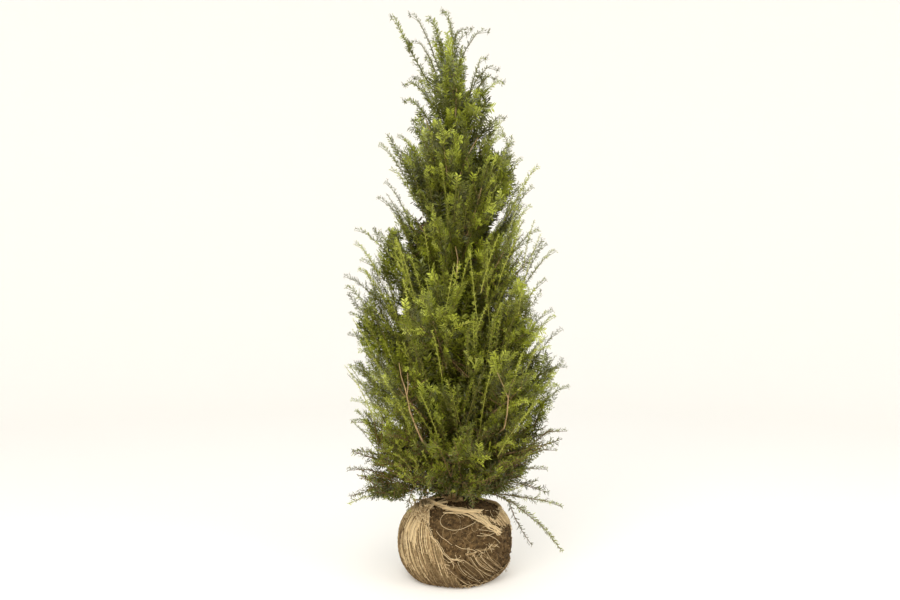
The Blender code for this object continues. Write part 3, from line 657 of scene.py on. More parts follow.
def weave_group():
    """Yarns that cross on the piece's UV map, which counts yarns: their height and their gaps."""
    tree, wiring, given, out = group_of(
        "weave",
        (("Warp Width", "Float", 0.75), ("Weft Width", "Float", 0.45), ("Wander", "Float", 0.25)),
        (("Height", "Float"), ("Cover", "Float"), ("Yarn", "Float")),
    )
    flat = wiring.add("ShaderNodeTexCoord").outputs["UV"]
    waver = wiring.add("ShaderNodeTexNoise", {"Vector": flat, "Scale": 0.35, "Detail": 3.0})
    off = wiring.scaled(wiring.vector("SUBTRACT", waver.outputs["Color"], (0.5, 0.5, 0.5)), given["Wander"])
    moved = wiring.vector("ADD", flat, wiring.scaled(off, 4.0))
    parts = wiring.add("ShaderNodeSeparateXYZ", {0: moved}).outputs
    warp = yarn_height(wiring, parts["X"], given["Warp Width"])
    weft = yarn_height(wiring, parts["Y"], given["Weft Width"])
    higher = wiring.math("MAXIMUM", warp, wiring.math("MULTIPLY", weft, 0.7))
    cover = wiring.math("GREATER_THAN", higher, 0.02)
    number = wiring.add("ShaderNodeTexWhiteNoise", noise_dimensions="1D")
    wiring.set(number.inputs["W"], wiring.math("FLOOR", parts["X"]))
    wiring.set(out["Height"], higher)
    wiring.set(out["Cover"], cover)
    wiring.set(out["Yarn"], number.outputs["Value"])
    return tree


def yarn_height(wiring, place, width):
    """The rounded height of a yarn across its pitch of 1, and 0 in the gap beside it."""
    off = wiring.math("ABSOLUTE", wiring.math("SUBTRACT", wiring.math("FRACT", place), 0.5))
    share = wiring.math("DIVIDE", off, wiring.math("MULTIPLY", width, 0.5))
    low = wiring.math("SUBTRACT", 1.0, wiring.math("MULTIPLY", share, share))
    return wiring.math("SQRT", wiring.math("MAXIMUM", low, 0.0))


# Lines that become shoots, strands and needles

class Lines:
    """Lines of one kind, with what the node trees read at each of their points."""

    def __init__(self):
        self.points = []
        self.edges = []
        self.traits = {"side": [], "size": [], "ring": [], "thickness": []}
        self.count = 0

    def add(self, points, thickness, side=(1, 0, 0), size=1.0, ring=0.0):
        points = np.asarray(points, float)
        count = len(points)
        first = np.arange(self.count, self.count + count - 1)
        self.edges.append(np.stack([first, first + 1], axis=1))
        self.points.append(points)
        self.traits["side"].append(np.tile(np.asarray(side, float), (count, 1)))
        for name, value in (("size", size), ("ring", ring), ("thickness", thickness)):
            self.traits[name].append(np.broadcast_to(np.asarray(value, float), count))
        self.count += count

    def as_object(self, name):
        points, edges = np.concatenate(self.points), np.concatenate(self.edges)
        mesh = bpy.data.meshes.new(name)
        mesh.vertices.add(len(points))
        mesh.vertices.foreach_set("co", points.astype(np.float32).ravel())
        mesh.edges.add(len(edges))
        mesh.edges.foreach_set("vertices", edges.astype(np.int32).ravel())
        for trait, values in self.traits.items():
            kind, field = ("FLOAT_VECTOR", "vector") if trait == "side" else ("FLOAT", "value")
            made = mesh.attributes.new(trait, kind, "POINT")
            made.data.foreach_set(field, np.concatenate(values).astype(np.float32).ravel())
        mesh.update()
        return add_object(name, mesh)


def strand_tree():
    """Round strands along lines, as thick as the attribute thickness says."""
    tree, wiring, given = new_tree("round strands", (("Sides", "Int"), ("Material", "Material")))
    curve = wiring.add("GeometryNodeMeshToCurve", {"Mesh": given["Geometry"]})
    ring = wiring.add("GeometryNodeCurvePrimitiveCircle", {"Resolution": given["Sides"], "Radius": 1.0})
    skin = wiring.add(
        "GeometryNodeCurveToMesh",
        {"Curve": curve, "Profile Curve": ring, "Scale": wiring.attribute("thickness"), "Fill Caps": True},
    )
    close_tree(wiring, skin, given)
    return tree


def needle_tree():
    """Needles along shoots: in two ranks, or all round where the attribute ring says so."""
    tree, wiring, given = new_tree(
        "needles on shoots",
        (
            ("Needle", "Object"), ("Spacing", "Float"), ("Splay", "Float"), ("Seed", "Int"),
            ("Material", "Material"),
        ),
    )
    curve = wiring.add("GeometryNodeMeshToCurve", {"Mesh": given["Geometry"]})
    along = wiring.add("GeometryNodeCurveToPoints", {"Curve": curve}, mode="LENGTH")
    wiring.set(along.inputs["Length"], given["Spacing"])
    heading = along.outputs["Tangent"]
    side = wiring.attribute("side", "FLOAT_VECTOR")
    ring = wiring.attribute("ring")
    seed = given["Seed"]
    number = wiring.add("GeometryNodeInputIndex")
    two_ranks = wiring.math("MULTIPLY", wiring.math("MODULO", number, 2.0), math.pi)
    spiral = wiring.math("MULTIPLY", number, GOLDEN_TURN)
    towards = wiring.math("MULTIPLY", wiring.math("SUBTRACT", spiral, two_ranks), ring)
    wobble = wiring.random(-0.45, 0.45, seed)
    turn = wiring.math("ADD", wiring.math("ADD", two_ranks, towards), wobble)
    normal = wiring.vector("CROSS_PRODUCT", heading, side)
    spread = wiring.vector(
        "ADD",
        wiring.scaled(side, wiring.math("COSINE", turn)),
        wiring.scaled(normal, wiring.math("SINE", turn)),
    )
    opened = wiring.random(0.75, 1.2, wiring.math("ADD", seed, 1.0))
    open_by = wiring.math("MULTIPLY", given["Splay"], opened)
    pointing = wiring.vector(
        "ADD",
        wiring.scaled(heading, wiring.math("COSINE", open_by)),
        wiring.scaled(spread, wiring.math("SINE", open_by)),
    )
    facing = wiring.vector("ADD", normal, wiring.scaled(heading, ring))
    turned_to = wiring.add(
        "FunctionNodeAxesToRotation",
        {"Primary Axis": pointing, "Secondary Axis": facing},
        primary_axis="Y",
        secondary_axis="Z",
    )
    length = wiring.math(
        "MULTIPLY", wiring.attribute("size"), wiring.random(0.82, 1.12, wiring.math("ADD", seed, 2.0))
    )
    needle = wiring.add("GeometryNodeObjectInfo", {"Object": given["Needle"]}).outputs["Geometry"]
    placed = wiring.add(
        "GeometryNodeInstanceOnPoints",
        {"Points": along.outputs["Points"], "Instance": needle, "Rotation": turned_to, "Scale": length},
    )
    close_tree(wiring, placed, given)
    return tree


def needle_blade(width):
    """One needle along +Y: narrow at its root, parallel-sided, drooping to a sharp tip."""
    half, length = width / 2, NEEDLE_LENGTH
    points = [(-0.45 * half, 0, 0), (0.45 * half, 0, 0)]
    points += [(half, 0.62 * length, -0.0005), (-half, 0.62 * length, -0.0005)]
    points.append((0, length, -0.0020))
    faces = ((0, 1, 2, 3), (3, 2, 4))
    blade = mesh_object("needle", points, faces, smooth=False)
    blade.hide_render = True
    return blade


# Growth of the crown

def over_foot(points):
    """Whether a shoot would hide the trunk's foot, which shows under the foliage in front."""
    x, y, z = points.T
    left, right, front, height = FOOT_GAP
    return bool(((x > left) & (x < right) & (y < front) & (z < height)).any())


def clear_of_sky(points):
    """The line up to the first gap in front view where the sky shows through the crown."""
    points = np.asarray(points)
    nearer = CAMERA_AWAY / (CAMERA_AWAY + points[:, 1])
    x = CAMERA_PLACE[0] + (points[:, 0] - CAMERA_PLACE[0]) * nearer
    z = CAMERA_PLACE[2] + (points[:, 2] - CAMERA_PLACE[2]) * nearer
    middle_x, middle_z, half_x, half_z = np.array(SKY_GAPS).T
    off_x = (x[:, None] - middle_x) / (half_x + SKY_MARGIN)
    off_z = (z[:, None] - middle_z) / (half_z + SKY_MARGIN)
    hidden = (off_x ** 2 + off_z ** 2 < 1).any(axis=1)
    return points[: int(np.argmax(hidden))] if hidden.any() else points


class Crown:
    """The lines of every shoot: their needles by colour and by half, and their wood."""

    def __init__(self):
        self.needles = [(Lines(), Lines()) for _ in TONES]
        self.woods = [Lines() for _ in WOODS]
        # Whether shoots stop at the gaps of sky
        self.gapped = True

    def leaf(self, tone, points, side, sizes, ring):
        """Needles of one colour along a line, kept with the front or the back half."""
        half = int(points[:, 1].mean() > 0)
        self.needles[tone][half].add(points, 0.0, side, sizes, ring)

    def shoot(self, points, side, tones, wood, thick, size, ring=0.0, bare=0.0):
        """One shoot, its needles from the share bare of its length on, in two tones."""
        points = clear_of_sky(points) if self.gapped else np.asarray(points)
        if len(points) < 3 or over_foot(points):
            return
        count = len(points)
        along = np.linspace(0, 1, count)
        if wood == GREEN and points[-1][2] < BROWN_BELOW:
            wood, thick = BROWN, (thick[0] * 1.4, thick[1] * 1.4)
        kept = sorted({0, count // 3, 2 * count // 3, count - 1}) if count > 5 else [0, count - 1]
        self.woods[wood].add(points[kept], thick[0] + (thick[1] - thick[0]) * along[kept])
        first = min(int(bare * (count - 1)), count - 2)
        turning = max((first + count) // 2, first + 1)
        sizes = size[0] + (size[1] - size[0]) * along ** 1.5
        self.leaf(tones[0], points[first : turning + 1], side, sizes[first : turning + 1], ring)
        if turning < count - 1:
            self.leaf(tones[1], points[turning:], side, sizes[turning:], ring)


def shoot_line(root, direction, length, lift, steps):
    """A line that leaves root in that direction and is drawn up as it goes."""
    along = np.linspace(0, 1, steps + 1)
    points = np.asarray(root) + np.outer(along * length, direction)
    points[:, 2] += lift * length * along ** 2
    return points


def cut_back(points, limb, space, reach_share):
    """The line up to where it would leave its limb's own space."""
    kept = space.holds(points[1:], limb, reach_share)
    last = len(kept) if kept.all() else int(np.argmin(kept))
    return points[: last + 1]


def length_of(points):
    return float(np.linalg.norm(np.diff(points, axis=0), axis=1).sum())


def depth_of(point):
    """How far out in the crown a point lies, 0 at the trunk's line and 1 at its reach."""
    x, y, z = point
    return math.hypot(x, y) / float(crown_reach(z, math.degrees(math.atan2(y, x))))


def tone_of(point, chance):
    # Darker further in, partly the older needles' own colour and partly painted shade, and by height
    # painted shade low down and towards the top
    depth = depth_of(point) + chance.uniform(-1, 1) * TONE_JITTER
    depth -= by_height(PAINTED_SHADE_BY_HEIGHT, point[2])
    return max(i for i, (_, _, begins) in enumerate(TONES) if depth >= begins or i == 0)


def tone_pair(tone, chance):
    """The tones of a shoot's foot and of its end, which is often lighter."""
    lot = chance.random()
    foot = tone - 1 if lot < 0.55 else tone
    end = tone + 1 if lot > 0.70 else tone
    return max(foot, 0), min(end, len(TONES) - 1)


def across(heading, turn):
    """A direction square to heading, at that turn from the level."""
    level = Vector((-heading.y, heading.x, 0))
    level = level.normalized() if level.length > 1e-3 else Vector((1, 0, 0))
    return level * math.cos(turn) + heading.cross(level) * math.sin(turn)


def grow_twig(root, direction, side, length, limb, space, crown, chance):
    """A twig and its side shoots, in two ranks in the plane of side."""
    lift = by_height(TWIG_LIFTS, root.z)
    line = shoot_line(root, direction, length, lift, TWIG_STEPS)
    line = clear_of_sky(cut_back(line, limb, space, SHOOT_REACH))
    kept = length_of(line) if len(line) > 1 else 0.0
    if len(line) < 3 or kept < SHORTEST_TWIG:
        return
    tone = tone_of(line[-1], chance)
    thick = (0.0006 + 0.004 * kept, 0.0005)
    size = TONE_SIZES[tone]
    tones = tone_pair(tone, chance)
    crown.shoot(line, side, tones, BROWN, thick, (size, 0.7 * size), ring=0.15, bare=0.2)
    places = [Vector(point) for point in line]
    count = max(int(kept * (1 - SIDE_FIRST) / SIDE_SPACING), 2)
    for i in range(count):
        along = SIDE_FIRST + (0.98 - SIDE_FIRST) * i / (count - 1)
        foot, heading = place_on(places, along * kept)
        out = side if i % 2 else -side
        splay = SIDE_SPLAY * chance.uniform(0.8, 1.15)
        lean = heading.cross(side) * chance.uniform(-0.25, 0.25)
        way = (heading * math.cos(splay) + out * math.sin(splay) + lean).normalized()
        full = SIDE_LENGTH * (1 - (1 - SIDE_LENGTH_AT_TIP) * along) * limb.fullness ** 0.5
        full = min(full, 0.55 * kept) * chance.uniform(0.7, 1.15)
        shoot = shoot_line(foot, way, full, SIDE_LIFT, SIDE_STEPS)
        shoot = cut_back(shoot, limb, space, SHOOT_REACH)
        if len(shoot) < 3 or length_of(shoot) < SHORTEST_SIDE:
            continue
        flat = (side - way * side.dot(way)).normalized()
        tones = tone_pair(tone_of(shoot[-1], chance), chance)
        crown.shoot(shoot, flat, tones, GREEN, (0.0006, 0.0004), (size, 0.7 * size))


def grow_limb(limb, space, crown):
    """Twigs all round a limb's stem."""
    chance = random.Random(limb.name + " shoots")
    stem = limb.line[max(limb.split - 2, 0) :]
    total = line_length(stem)
    count = round(total * (TWIG_LAST - TWIG_FIRST) / TWIG_SPACING)
    turn = chance.uniform(0, 2 * math.pi)
    for i in range(count):
        along = TWIG_FIRST + (TWIG_LAST - TWIG_FIRST) * (i + chance.uniform(-0.3, 0.3)) / count
        root, heading = place_on(stem, along * total)
        turn += GOLDEN_TURN
        splay = TWIG_SPLAY * chance.uniform(0.75, 1.3)
        outward = across(heading, turn)
        direction = heading * math.cos(splay) + outward * math.sin(splay)
        side = (heading - direction * heading.dot(direction)).normalized()
        side = Matrix.Rotation(chance.uniform(-1, 1) * SPRAY_ROLL, 3, direction) @ side
        length = TWIG_LENGTH + (TWIG_LENGTH_AT_TIP - TWIG_LENGTH) * along
        length *= chance.uniform(0.7, 1.15) * limb.fullness ** 0.5
        grow_twig(root, direction, side, length, limb, space, crown, chance)


def grow_limb_end(limb, crown):
    """The leafy end of a limb's own stem."""
    chance = random.Random(limb.name + " end")
    line = clear_of_sky(limb.line[END_FROM:])
    if len(line) > 3:
        tone = DEEP if line[-1][2] < END_LIGHT_ABOVE else MATURE
        grow_plume(line, crown, chance, tone, END_NEEDLES, END_SIDES)


def grow_plume(line, crown, chance, tone, needle, sides, thick=PLUME_THICKNESS):
    """A leafy leading shoot along line, with shorter and shorter side shoots all round it."""
    line = np.asarray(line)
    kept = length_of(line)
    places = [Vector(point) for point in line]
    face = across((places[-1] - places[0]).normalized(), chance.uniform(0, math.pi))
    wood = YOUNG if tone >= FRESH else GREEN
    pair = (max(tone - 1, 0), tone)
    crown.shoot(line, face, pair, wood, (thick, 0.0006), needle, ring=0.45, bare=0.1)
    if thick > PLUME_THICKNESS and not over_foot(line):
        other = face.cross(places[-1] - places[0]).normalized()
        crown.leaf(tone, line[1:], other, needle[1], 0.8)
    count = max(int(0.86 * kept / PLUME_SIDE_SPACING), 2)
    turn = chance.uniform(0, 2 * math.pi)
    for i in range(count):
        along = 0.08 + 0.86 * i / (count - 1)
        foot, heading = place_on(places, along * kept)
        turn += GOLDEN_TURN
        out = across(heading, turn)
        opened = math.radians(chance.uniform(*PLUME_SPLAY))
        way = heading * math.cos(opened) + out * math.sin(opened)
        short = (sides[0] + (sides[1] - sides[0]) * along) * chance.uniform(0.6, 1.2)
        shoot = shoot_line(foot, way, short, 0.15, 3)
        flat = heading.cross(way).normalized() if chance.random() < 0.5 else out
        flat = (flat - way * flat.dot(way)).normalized()
        size = needle[0] + (needle[1] - needle[0]) * along
        own = min(max(tone + chance.choice(SIDE_TONES), 0), len(TONES) - 1)
        tones = tone_pair(own, chance)
        wood = YOUNG if tones[0] >= FRESH else GREEN
        crown.shoot(shoot, flat, tones, wood, (0.0008, 0.0005), (size, 0.85 * needle[1]), ring=0.1)


def in_shaded_hollow(tip):
    """Whether a plume's tip lies in the hollow of the crown's upper front, painted in shade."""
    left, right, low, high = SHADED_HOLLOW
    return left < tip.x < right and tip.y < 0 and low < tip.z < high


def limb_places(limbs, step=0.02):
    """Points close together along every limb, where shoots can spring from."""
    found = []
    for limb in limbs:
        total = line_length(limb.line)
        for i in range(int(0.25 * total / step), int(0.8 * total / step)):
            found.append(place_on(limb.line, i * step)[0])
    return np.array([tuple(place) for place in found])


def join_limb(foot, ends, crown):
    """A bare twig from the nearest limb to a shoot's foot."""
    nearest = Vector(ends[np.linalg.norm(ends - np.array(foot), axis=1).argmin()])
    if (foot - nearest).length > 0.004:
        crown.woods[BROWN].add(bent_path(nearest, nearest.lerp(foot, 0.6), foot, 3), 0.0012)


def grow_plumes(limbs, crown, name, number, span, reaches, needle, tones, sides):
    """Plumes all round the crown, upright above and leaning out below."""
    chance = random.Random(name)
    ends = limb_places(limbs)
    heights = np.linspace(*span, 60)
    shares = np.cumsum([float(crown_reach(z, 90.0)) for z in heights])
    shares = (shares - shares[0]) / (shares[-1] - shares[0])
    for i in range(number):
        azimuth = math.degrees(i * GOLDEN_TURN) % 360
        height = float(np.interp((i * EVEN_STEP) % 1, shares, heights))
        reach = float(crown_reach(height, azimuth) * filled_share(height, azimuth))
        tip = turned(azimuth + chance.uniform(-4, 4), reach * chance.uniform(*reaches), height)
        outward = outward_of(tip)
        aside = outward.cross(UP) * chance.uniform(-0.22, 0.22)
        lean = math.radians(by_height(PLUME_LEANS, height) + chance.uniform(-9, 9))
        length = by_height(PLUME_LENGTHS, height) * chance.uniform(0.7, 1.15)
        inner, outer = lean - PLUME_ARCH, lean + PLUME_ARCH
        first = (outward * math.sin(inner) + UP * math.cos(inner) + aside).normalized()
        last = (outward * math.sin(outer) + UP * math.cos(outer) + aside).normalized()
        elbow = tip - last * 0.5 * length
        foot = elbow - first * 0.5 * length
        if height < 0.42 and foot.z < skirt_height(azimuth):
            foot.z = elbow.z = skirt_height(azimuth) + 0.02
        line = clear_of_sky(bent_path(foot, elbow, tip, PLUME_STEPS))
        # Painted shade: a share of the plumes a tone darker by height, and two tones darker in the hollow
        darker = chance.random() < by_height(PAINTED_SHADE_SHARES, height)
        tone = max(chance.choice(tones) - int(darker) - 2 * int(in_shaded_hollow(tip)), 0)
        if len(line) > 4:
            join_limb(foot, ends, crown)
            grow_plume(line, crown, chance, tone, needle, sides)


# Tips of the leading shoots that stand out of the crown's outline in front view, as x and
# height, to the right and to the left, and those of the crown's top
RIGHT_TIPS = (
    (0.345, 0.240), (0.299, 0.357), (0.327, 0.424), (0.356, 0.494), (0.366, 0.631),
    (0.358, 0.700), (0.350, 0.822), (0.327, 0.865), (0.315, 0.884), (0.290, 0.985),
    (0.323, 1.080), (0.299, 1.105), (0.271, 1.149), (0.240, 1.225), (0.254, 1.296),
    (0.264, 1.350), (0.208, 1.374), (0.185, 1.440), (0.154, 1.463), (0.154, 1.519),
)
LEFT_TIPS = (
    (-0.343, 0.246), (-0.343, 0.365), (-0.327, 0.420), (-0.330, 0.520), (-0.333, 0.591),
    (-0.338, 0.700), (-0.343, 0.806), (-0.341, 0.874), (-0.350, 0.960), (-0.355, 0.997),
    (-0.307, 1.053), (-0.322, 1.103), (-0.314, 1.147), (-0.248, 1.139), (-0.218, 1.147),
    (-0.248, 1.258), (-0.221, 1.304), (-0.208, 1.354), (-0.243, 1.430), (-0.205, 1.436),
    (-0.180, 1.453), (-0.145, 1.479),
)
# The leading shoots of the crown's top in front view, as x and height: the tip of each, where it
# bends, where it leaves the crown's mass, and how leafy it is
THIN, LEAFY, FULL = range(3)
TOP_LEADS = (
    ((-0.200, 1.850), (-0.158, 1.757), (-0.059, 1.575), LEAFY),
    ((-0.139, 1.768), (-0.096, 1.735), (-0.050, 1.621), THIN),
    ((-0.140, 1.762), (-0.152, 1.748), (-0.150, 1.725), LEAFY),
    ((-0.139, 1.858), (-0.099, 1.793), (-0.046, 1.654), THIN),
    ((-0.082, 1.843), (-0.056, 1.780), (-0.036, 1.638), FULL),
    ((-0.033, 1.868), (-0.010, 1.790), (-0.009, 1.640), LEAFY),
    ((0.046, 1.810), (0.010, 1.795), (-0.006, 1.755), THIN),
    ((0.031, 1.799), (0.007, 1.745), (-0.006, 1.670), THIN),
    ((0.100, 1.804), (0.050, 1.765), (0.000, 1.650), THIN),
    ((0.092, 1.714), (0.070, 1.670), (0.045, 1.580), THIN),
    ((0.132, 1.678), (0.085, 1.660), (0.030, 1.550), THIN),
    ((0.122, 1.648), (0.095, 1.640), (0.060, 1.570), THIN),
    ((0.150, 1.638), (0.105, 1.605), (0.032, 1.525), LEAFY),
    ((-0.158, 1.628), (-0.115, 1.610), (-0.053, 1.512), LEAFY),
    ((-0.126, 1.652), (-0.105, 1.615), (-0.075, 1.550), THIN),
    ((-0.158, 1.574), (-0.115, 1.545), (-0.055, 1.455), LEAFY),
    ((-0.129, 1.511), (-0.098, 1.490), (-0.060, 1.445), LEAFY),
    ((0.154, 1.519), (0.125, 1.500), (0.070, 1.440), THIN),
    ((-0.066, 1.770), (-0.050, 1.700), (-0.036, 1.590), FULL),
    ((-0.040, 1.762), (-0.034, 1.690), (-0.024, 1.570), FULL),
    ((-0.024, 1.735), (-0.022, 1.670), (-0.016, 1.560), LEAFY),
    ((-0.086, 1.715), (-0.070, 1.650), (-0.045, 1.560), LEAFY),
    ((0.022, 1.716), (0.014, 1.650), (0.004, 1.550), FULL),
    ((0.030, 1.690), (0.022, 1.620), (0.010, 1.530), FULL),
    ((0.070, 1.600), (0.056, 1.560), (0.030, 1.480), FULL),
    ((-0.105, 1.640), (-0.080, 1.590), (-0.045, 1.500), LEAFY),
    ((-0.060, 1.640), (-0.050, 1.580), (-0.030, 1.490), FULL),
)
TOP_NEEDLES = ((0.62, 0.42), (0.82, 0.55), (0.88, 0.72))
TOP_SIDES = ((0.011, 0.004), (0.034, 0.007), (0.040, 0.013))
TOP_TONES = ((DEEP, DEEP, MATURE), (MATURE, MATURE, FRESH), (MATURE, MATURE, FRESH))
TOP_THICKNESS = (0.0022, 0.0024, 0.0024)
# How far the top's leading shoots lean to front or back, below a height and above it
TOP_DEPTHS = (0.085, 0.035)
TOP_DEPTHS_PART = 1.76
# The tuft at the end of such a shoot: how many shoots, and how long they are
TIP_FAN = 5
TIP_FAN_LENGTH = 0.016
# More leading shoots at the top's front and back: how many, between which heights, how far they
# reach by height, and how long they and their side shoots are
DEEP_LEADS = 16
DEEP_HEIGHTS = (1.50, 1.82)
DEEP_REACHES = ((1.50, 0.150), (1.65, 0.120), (1.82, 0.060))
DEEP_LENGTH = 0.24
DEEP_SIDES = (0.040, 0.012)
DEEP_THICKNESS = 0.0022
# Short sprays round the trunk, in the thin top: how many, between which heights and how long
TRUNK_SPRAYS = 30
TRUNK_SPRAYED = (1.16, 1.56)
TRUNK_SPRAY = 0.085
# Sprigs that hang in front view, two before the ball's left shoulder and a slight one from the
# trailing shoot: the depth of each, its tone, the length of its side shoots, and the x and height
# of its foot, its bend and its tip
SPRIGS = (
    (-0.120, DEEP, (0.034, 0.014), ((-0.120, 0.320), (-0.148, 0.290), (-0.156, 0.218))),
    (-0.100, DEEP, (0.034, 0.014), ((-0.150, 0.322), (-0.176, 0.290), (-0.186, 0.256))),
    (-0.060, SHADE, (0.007, 0.003), ((0.176, 0.252), (0.200, 0.170), (0.254, 0.102))),
)
SPRIG_NEEDLES = (0.80, 0.60)
SPRIG_THICKNESS = 0.0012
# How steeply a leading shoot arrives, as its rise over its run, by the height of its tip
LEAD_SLOPES = (
    (0.20, -0.35), (0.30, -0.12), (0.36, 0.05), (0.50, 0.25), (0.90, 0.80), (1.30, 1.20),
    (1.90, 2.00),
)
LEAD_LENGTH = 0.215
LEAD_NEEDLES = (0.64, 0.42)
LEAD_SIDES = (0.056, 0.008)
LEAD_THICKNESS = 0.0017
LEAD_TONES = (DEEP, DEEP, MATURE, MATURE, FRESH)
# Where leading shoots are slight: on the right or on the left, and from height to height
SLIGHT_LEADS = ((1, 0.98, 1.40), (-1, 1.03, 1.50))
SLIGHT_SHARE = 0.32
# Leading shoots all round the crown: how many, and between which heights
MORE_LEADS = 120
MORE_HEIGHTS = (0.30, 1.50)


def lead_tips(chance):
    """Where leading shoots end: at the outline's tips in front view, then all round."""
    tips = [Vector((x, chance.uniform(-0.05, 0.05), z)) for x, z in RIGHT_TIPS + LEFT_TIPS]
    for i in range(MORE_LEADS):
        azimuth = math.degrees(i * GOLDEN_TURN) % 360
        height = share_between(MORE_HEIGHTS, i / MORE_LEADS)
        share = float(filled_share(height, azimuth))
        reach = float(crown_reach(height, azimuth)) * min(share + 0.08, 1.0)
        aside = chance.uniform(-9, 9)
        tips.append(turned(azimuth + aside, reach * chance.uniform(0.74, 0.94), height))
    return tips


def grow_leads(limbs, crown, chance):
    """Arching leading shoots that stand out of the crown's surface."""
    ends = limb_places(limbs)
    for number, tip in enumerate(lead_tips(chance)):
        crown.gapped = number >= len(RIGHT_TIPS + LEFT_TIPS)
        slope = by_height(LEAD_SLOPES, tip.z) * chance.uniform(0.6, 1.5)
        outward = outward_of(tip)
        last = (outward + UP * slope).normalized()
        first = (outward + UP * (1.6 * slope + 0.3)).normalized()
        length = LEAD_LENGTH * chance.uniform(0.65, 1.2)
        slight = any(side * tip.x > 0.1 and low < tip.z < high for side, low, high in SLIGHT_LEADS)
        share = SLIGHT_SHARE if slight else chance.uniform(0.5, 1.0)
        sides = (LEAD_SIDES[0] * share, LEAD_SIDES[1])
        elbow = tip - last * 0.45 * length
        foot = elbow - first * 0.55 * length
        line = nodding(bent_path(foot, elbow, tip, 9))
        if crown.gapped:
            line = list(clear_of_sky(line))
        tone = chance.choice(LEAD_TONES)
        if len(line) < 5:
            continue
        join_limb(foot, ends, crown)
        grow_plume(line, crown, chance, tone, LEAD_NEEDLES, sides, LEAD_THICKNESS)


def grow_top_leads(crown, chance):
    """The crown's top: long shoots with tufted ends, where front view shows them."""
    crown.gapped = False
    for tip, bend, foot, kind in TOP_LEADS:
        depth = chance.uniform(-1, 1) * TOP_DEPTHS[tip[1] >= TOP_DEPTHS_PART]
        shares = ((foot, 0.2), (bend, 0.6), (tip, 1))
        start, middle, end = (seen_at(*place, depth * share) for place, share in shares)
        elbow = middle * 2 - (start + end) / 2
        line = nodding(bent_path(start, elbow, end, 14))
        tone = chance.choice(TOP_TONES[kind])
        looks = (TOP_NEEDLES[kind], TOP_SIDES[kind], TOP_THICKNESS[kind])
        grow_plume(line, crown, chance, tone, *looks)
        if kind != FULL:
            grow_tip_fan(line, crown, chance)


def grow_deep_leads(crown, chance):
    """Leading shoots at the top's front and back, so that it is as full from the side."""
    crown.gapped = True
    for i in range(DEEP_LEADS):
        side = 90 if i % 2 else -90
        height = share_between(DEEP_HEIGHTS, i / DEEP_LEADS)
        reach = by_height(DEEP_REACHES, height) * chance.uniform(0.5, 1.0)
        tip = turned(side + chance.uniform(-32, 32), reach, height)
        below = height - DEEP_LENGTH
        foot = trunk_point(max(below, 1.2)).lerp(Vector((tip.x, tip.y, below)), 0.25)
        elbow = foot.lerp(tip, 0.6) - UP * 0.02 + Vector((tip.x, tip.y, 0)) * 0.15
        line = clear_of_sky(bent_path(foot, elbow, tip, 12))
        if len(line) > 4:
            tone = chance.choice((MATURE, MATURE, FRESH))
            looks = (TOP_NEEDLES[FULL], DEEP_SIDES, DEEP_THICKNESS)
            grow_plume(line, crown, chance, tone, *looks)


def grow_trunk_sprays(crown, chance):
    """Short sprays that hide the bare trunk inside the thin top."""
    for i in range(TRUNK_SPRAYS):
        length = TRUNK_SPRAY * chance.uniform(0.7, 1.2)
        foot = trunk_point(share_between(TRUNK_SPRAYED, i / TRUNK_SPRAYS))
        way = turned(math.degrees(i * GOLDEN_TURN), 0.5, 0.0) + UP
        line = clear_of_sky(shoot_line(foot, way.normalized(), length, 0.3, 7))
        if len(line) > 4:
            tone = chance.choice((SHADE, DEEP, DEEP))
            grow_plume(line, crown, chance, tone, END_NEEDLES, TOP_SIDES[FULL])


def grow_sprigs(crown, chance):
    crown.gapped = False
    for depth, tone, sides, places in SPRIGS:
        line = bent_path(*(seen_at(x, z, depth) for x, z in places), 9)
        grow_plume(line, crown, chance, tone, SPRIG_NEEDLES, sides, SPRIG_THICKNESS)


def grow_outline(limbs, crown):
    """The shoots that stand out of the crown's mass, at their places in front view."""
    chance = random.Random("outline")
    grow_leads(limbs, crown, chance)
    grow_top_leads(crown, chance)
    grow_deep_leads(crown, chance)
    grow_trunk_sprays(crown, chance)
    grow_sprigs(crown, chance)


def seen_at(x, z, depth):
    """The point at that depth that is seen where (x, z) at the trunk's depth is."""
    further = (CAMERA_AWAY + depth) / CAMERA_AWAY
    left, low = CAMERA_PLACE[0], CAMERA_PLACE[2]
    return Vector((left + (x - left) * further, depth, low + (z - low) * further))


def grow_tip_fan(line, crown, chance):
    """A tuft of short dark shoots at a leading shoot's end."""
    tip = line[-1]
    heading = (line[-1] - line[-3]).normalized()
    for i in range(TIP_FAN):
        out = across(heading, 2 * math.pi * i / TIP_FAN)
        way = (heading * 0.4 + out + UP * 0.3).normalized()
        shoot = shoot_line(tip, way, TIP_FAN_LENGTH * chance.uniform(0.6, 1.1), 0.2, 3)
        crown.shoot(shoot, out.cross(way).normalized(), (0, 1), GREEN, (0.0009, 0.0005), (0.40, 0.30))


def nodding(line):
    """The line with its last stretch nodding outward."""
    tip = line[-1]
    outward = Vector((tip.x, tip.y, 0))
    outward = outward.normalized() if outward.length > 1e-3 else Vector((0, -1, 0))
    return line[:-1] + [tip + outward * 0.003 - UP * 0.003, tip + outward * 0.008 - UP * 0.009]


# Bark

BARK_STEP = 0.006
TRUNK_STEPS = 60


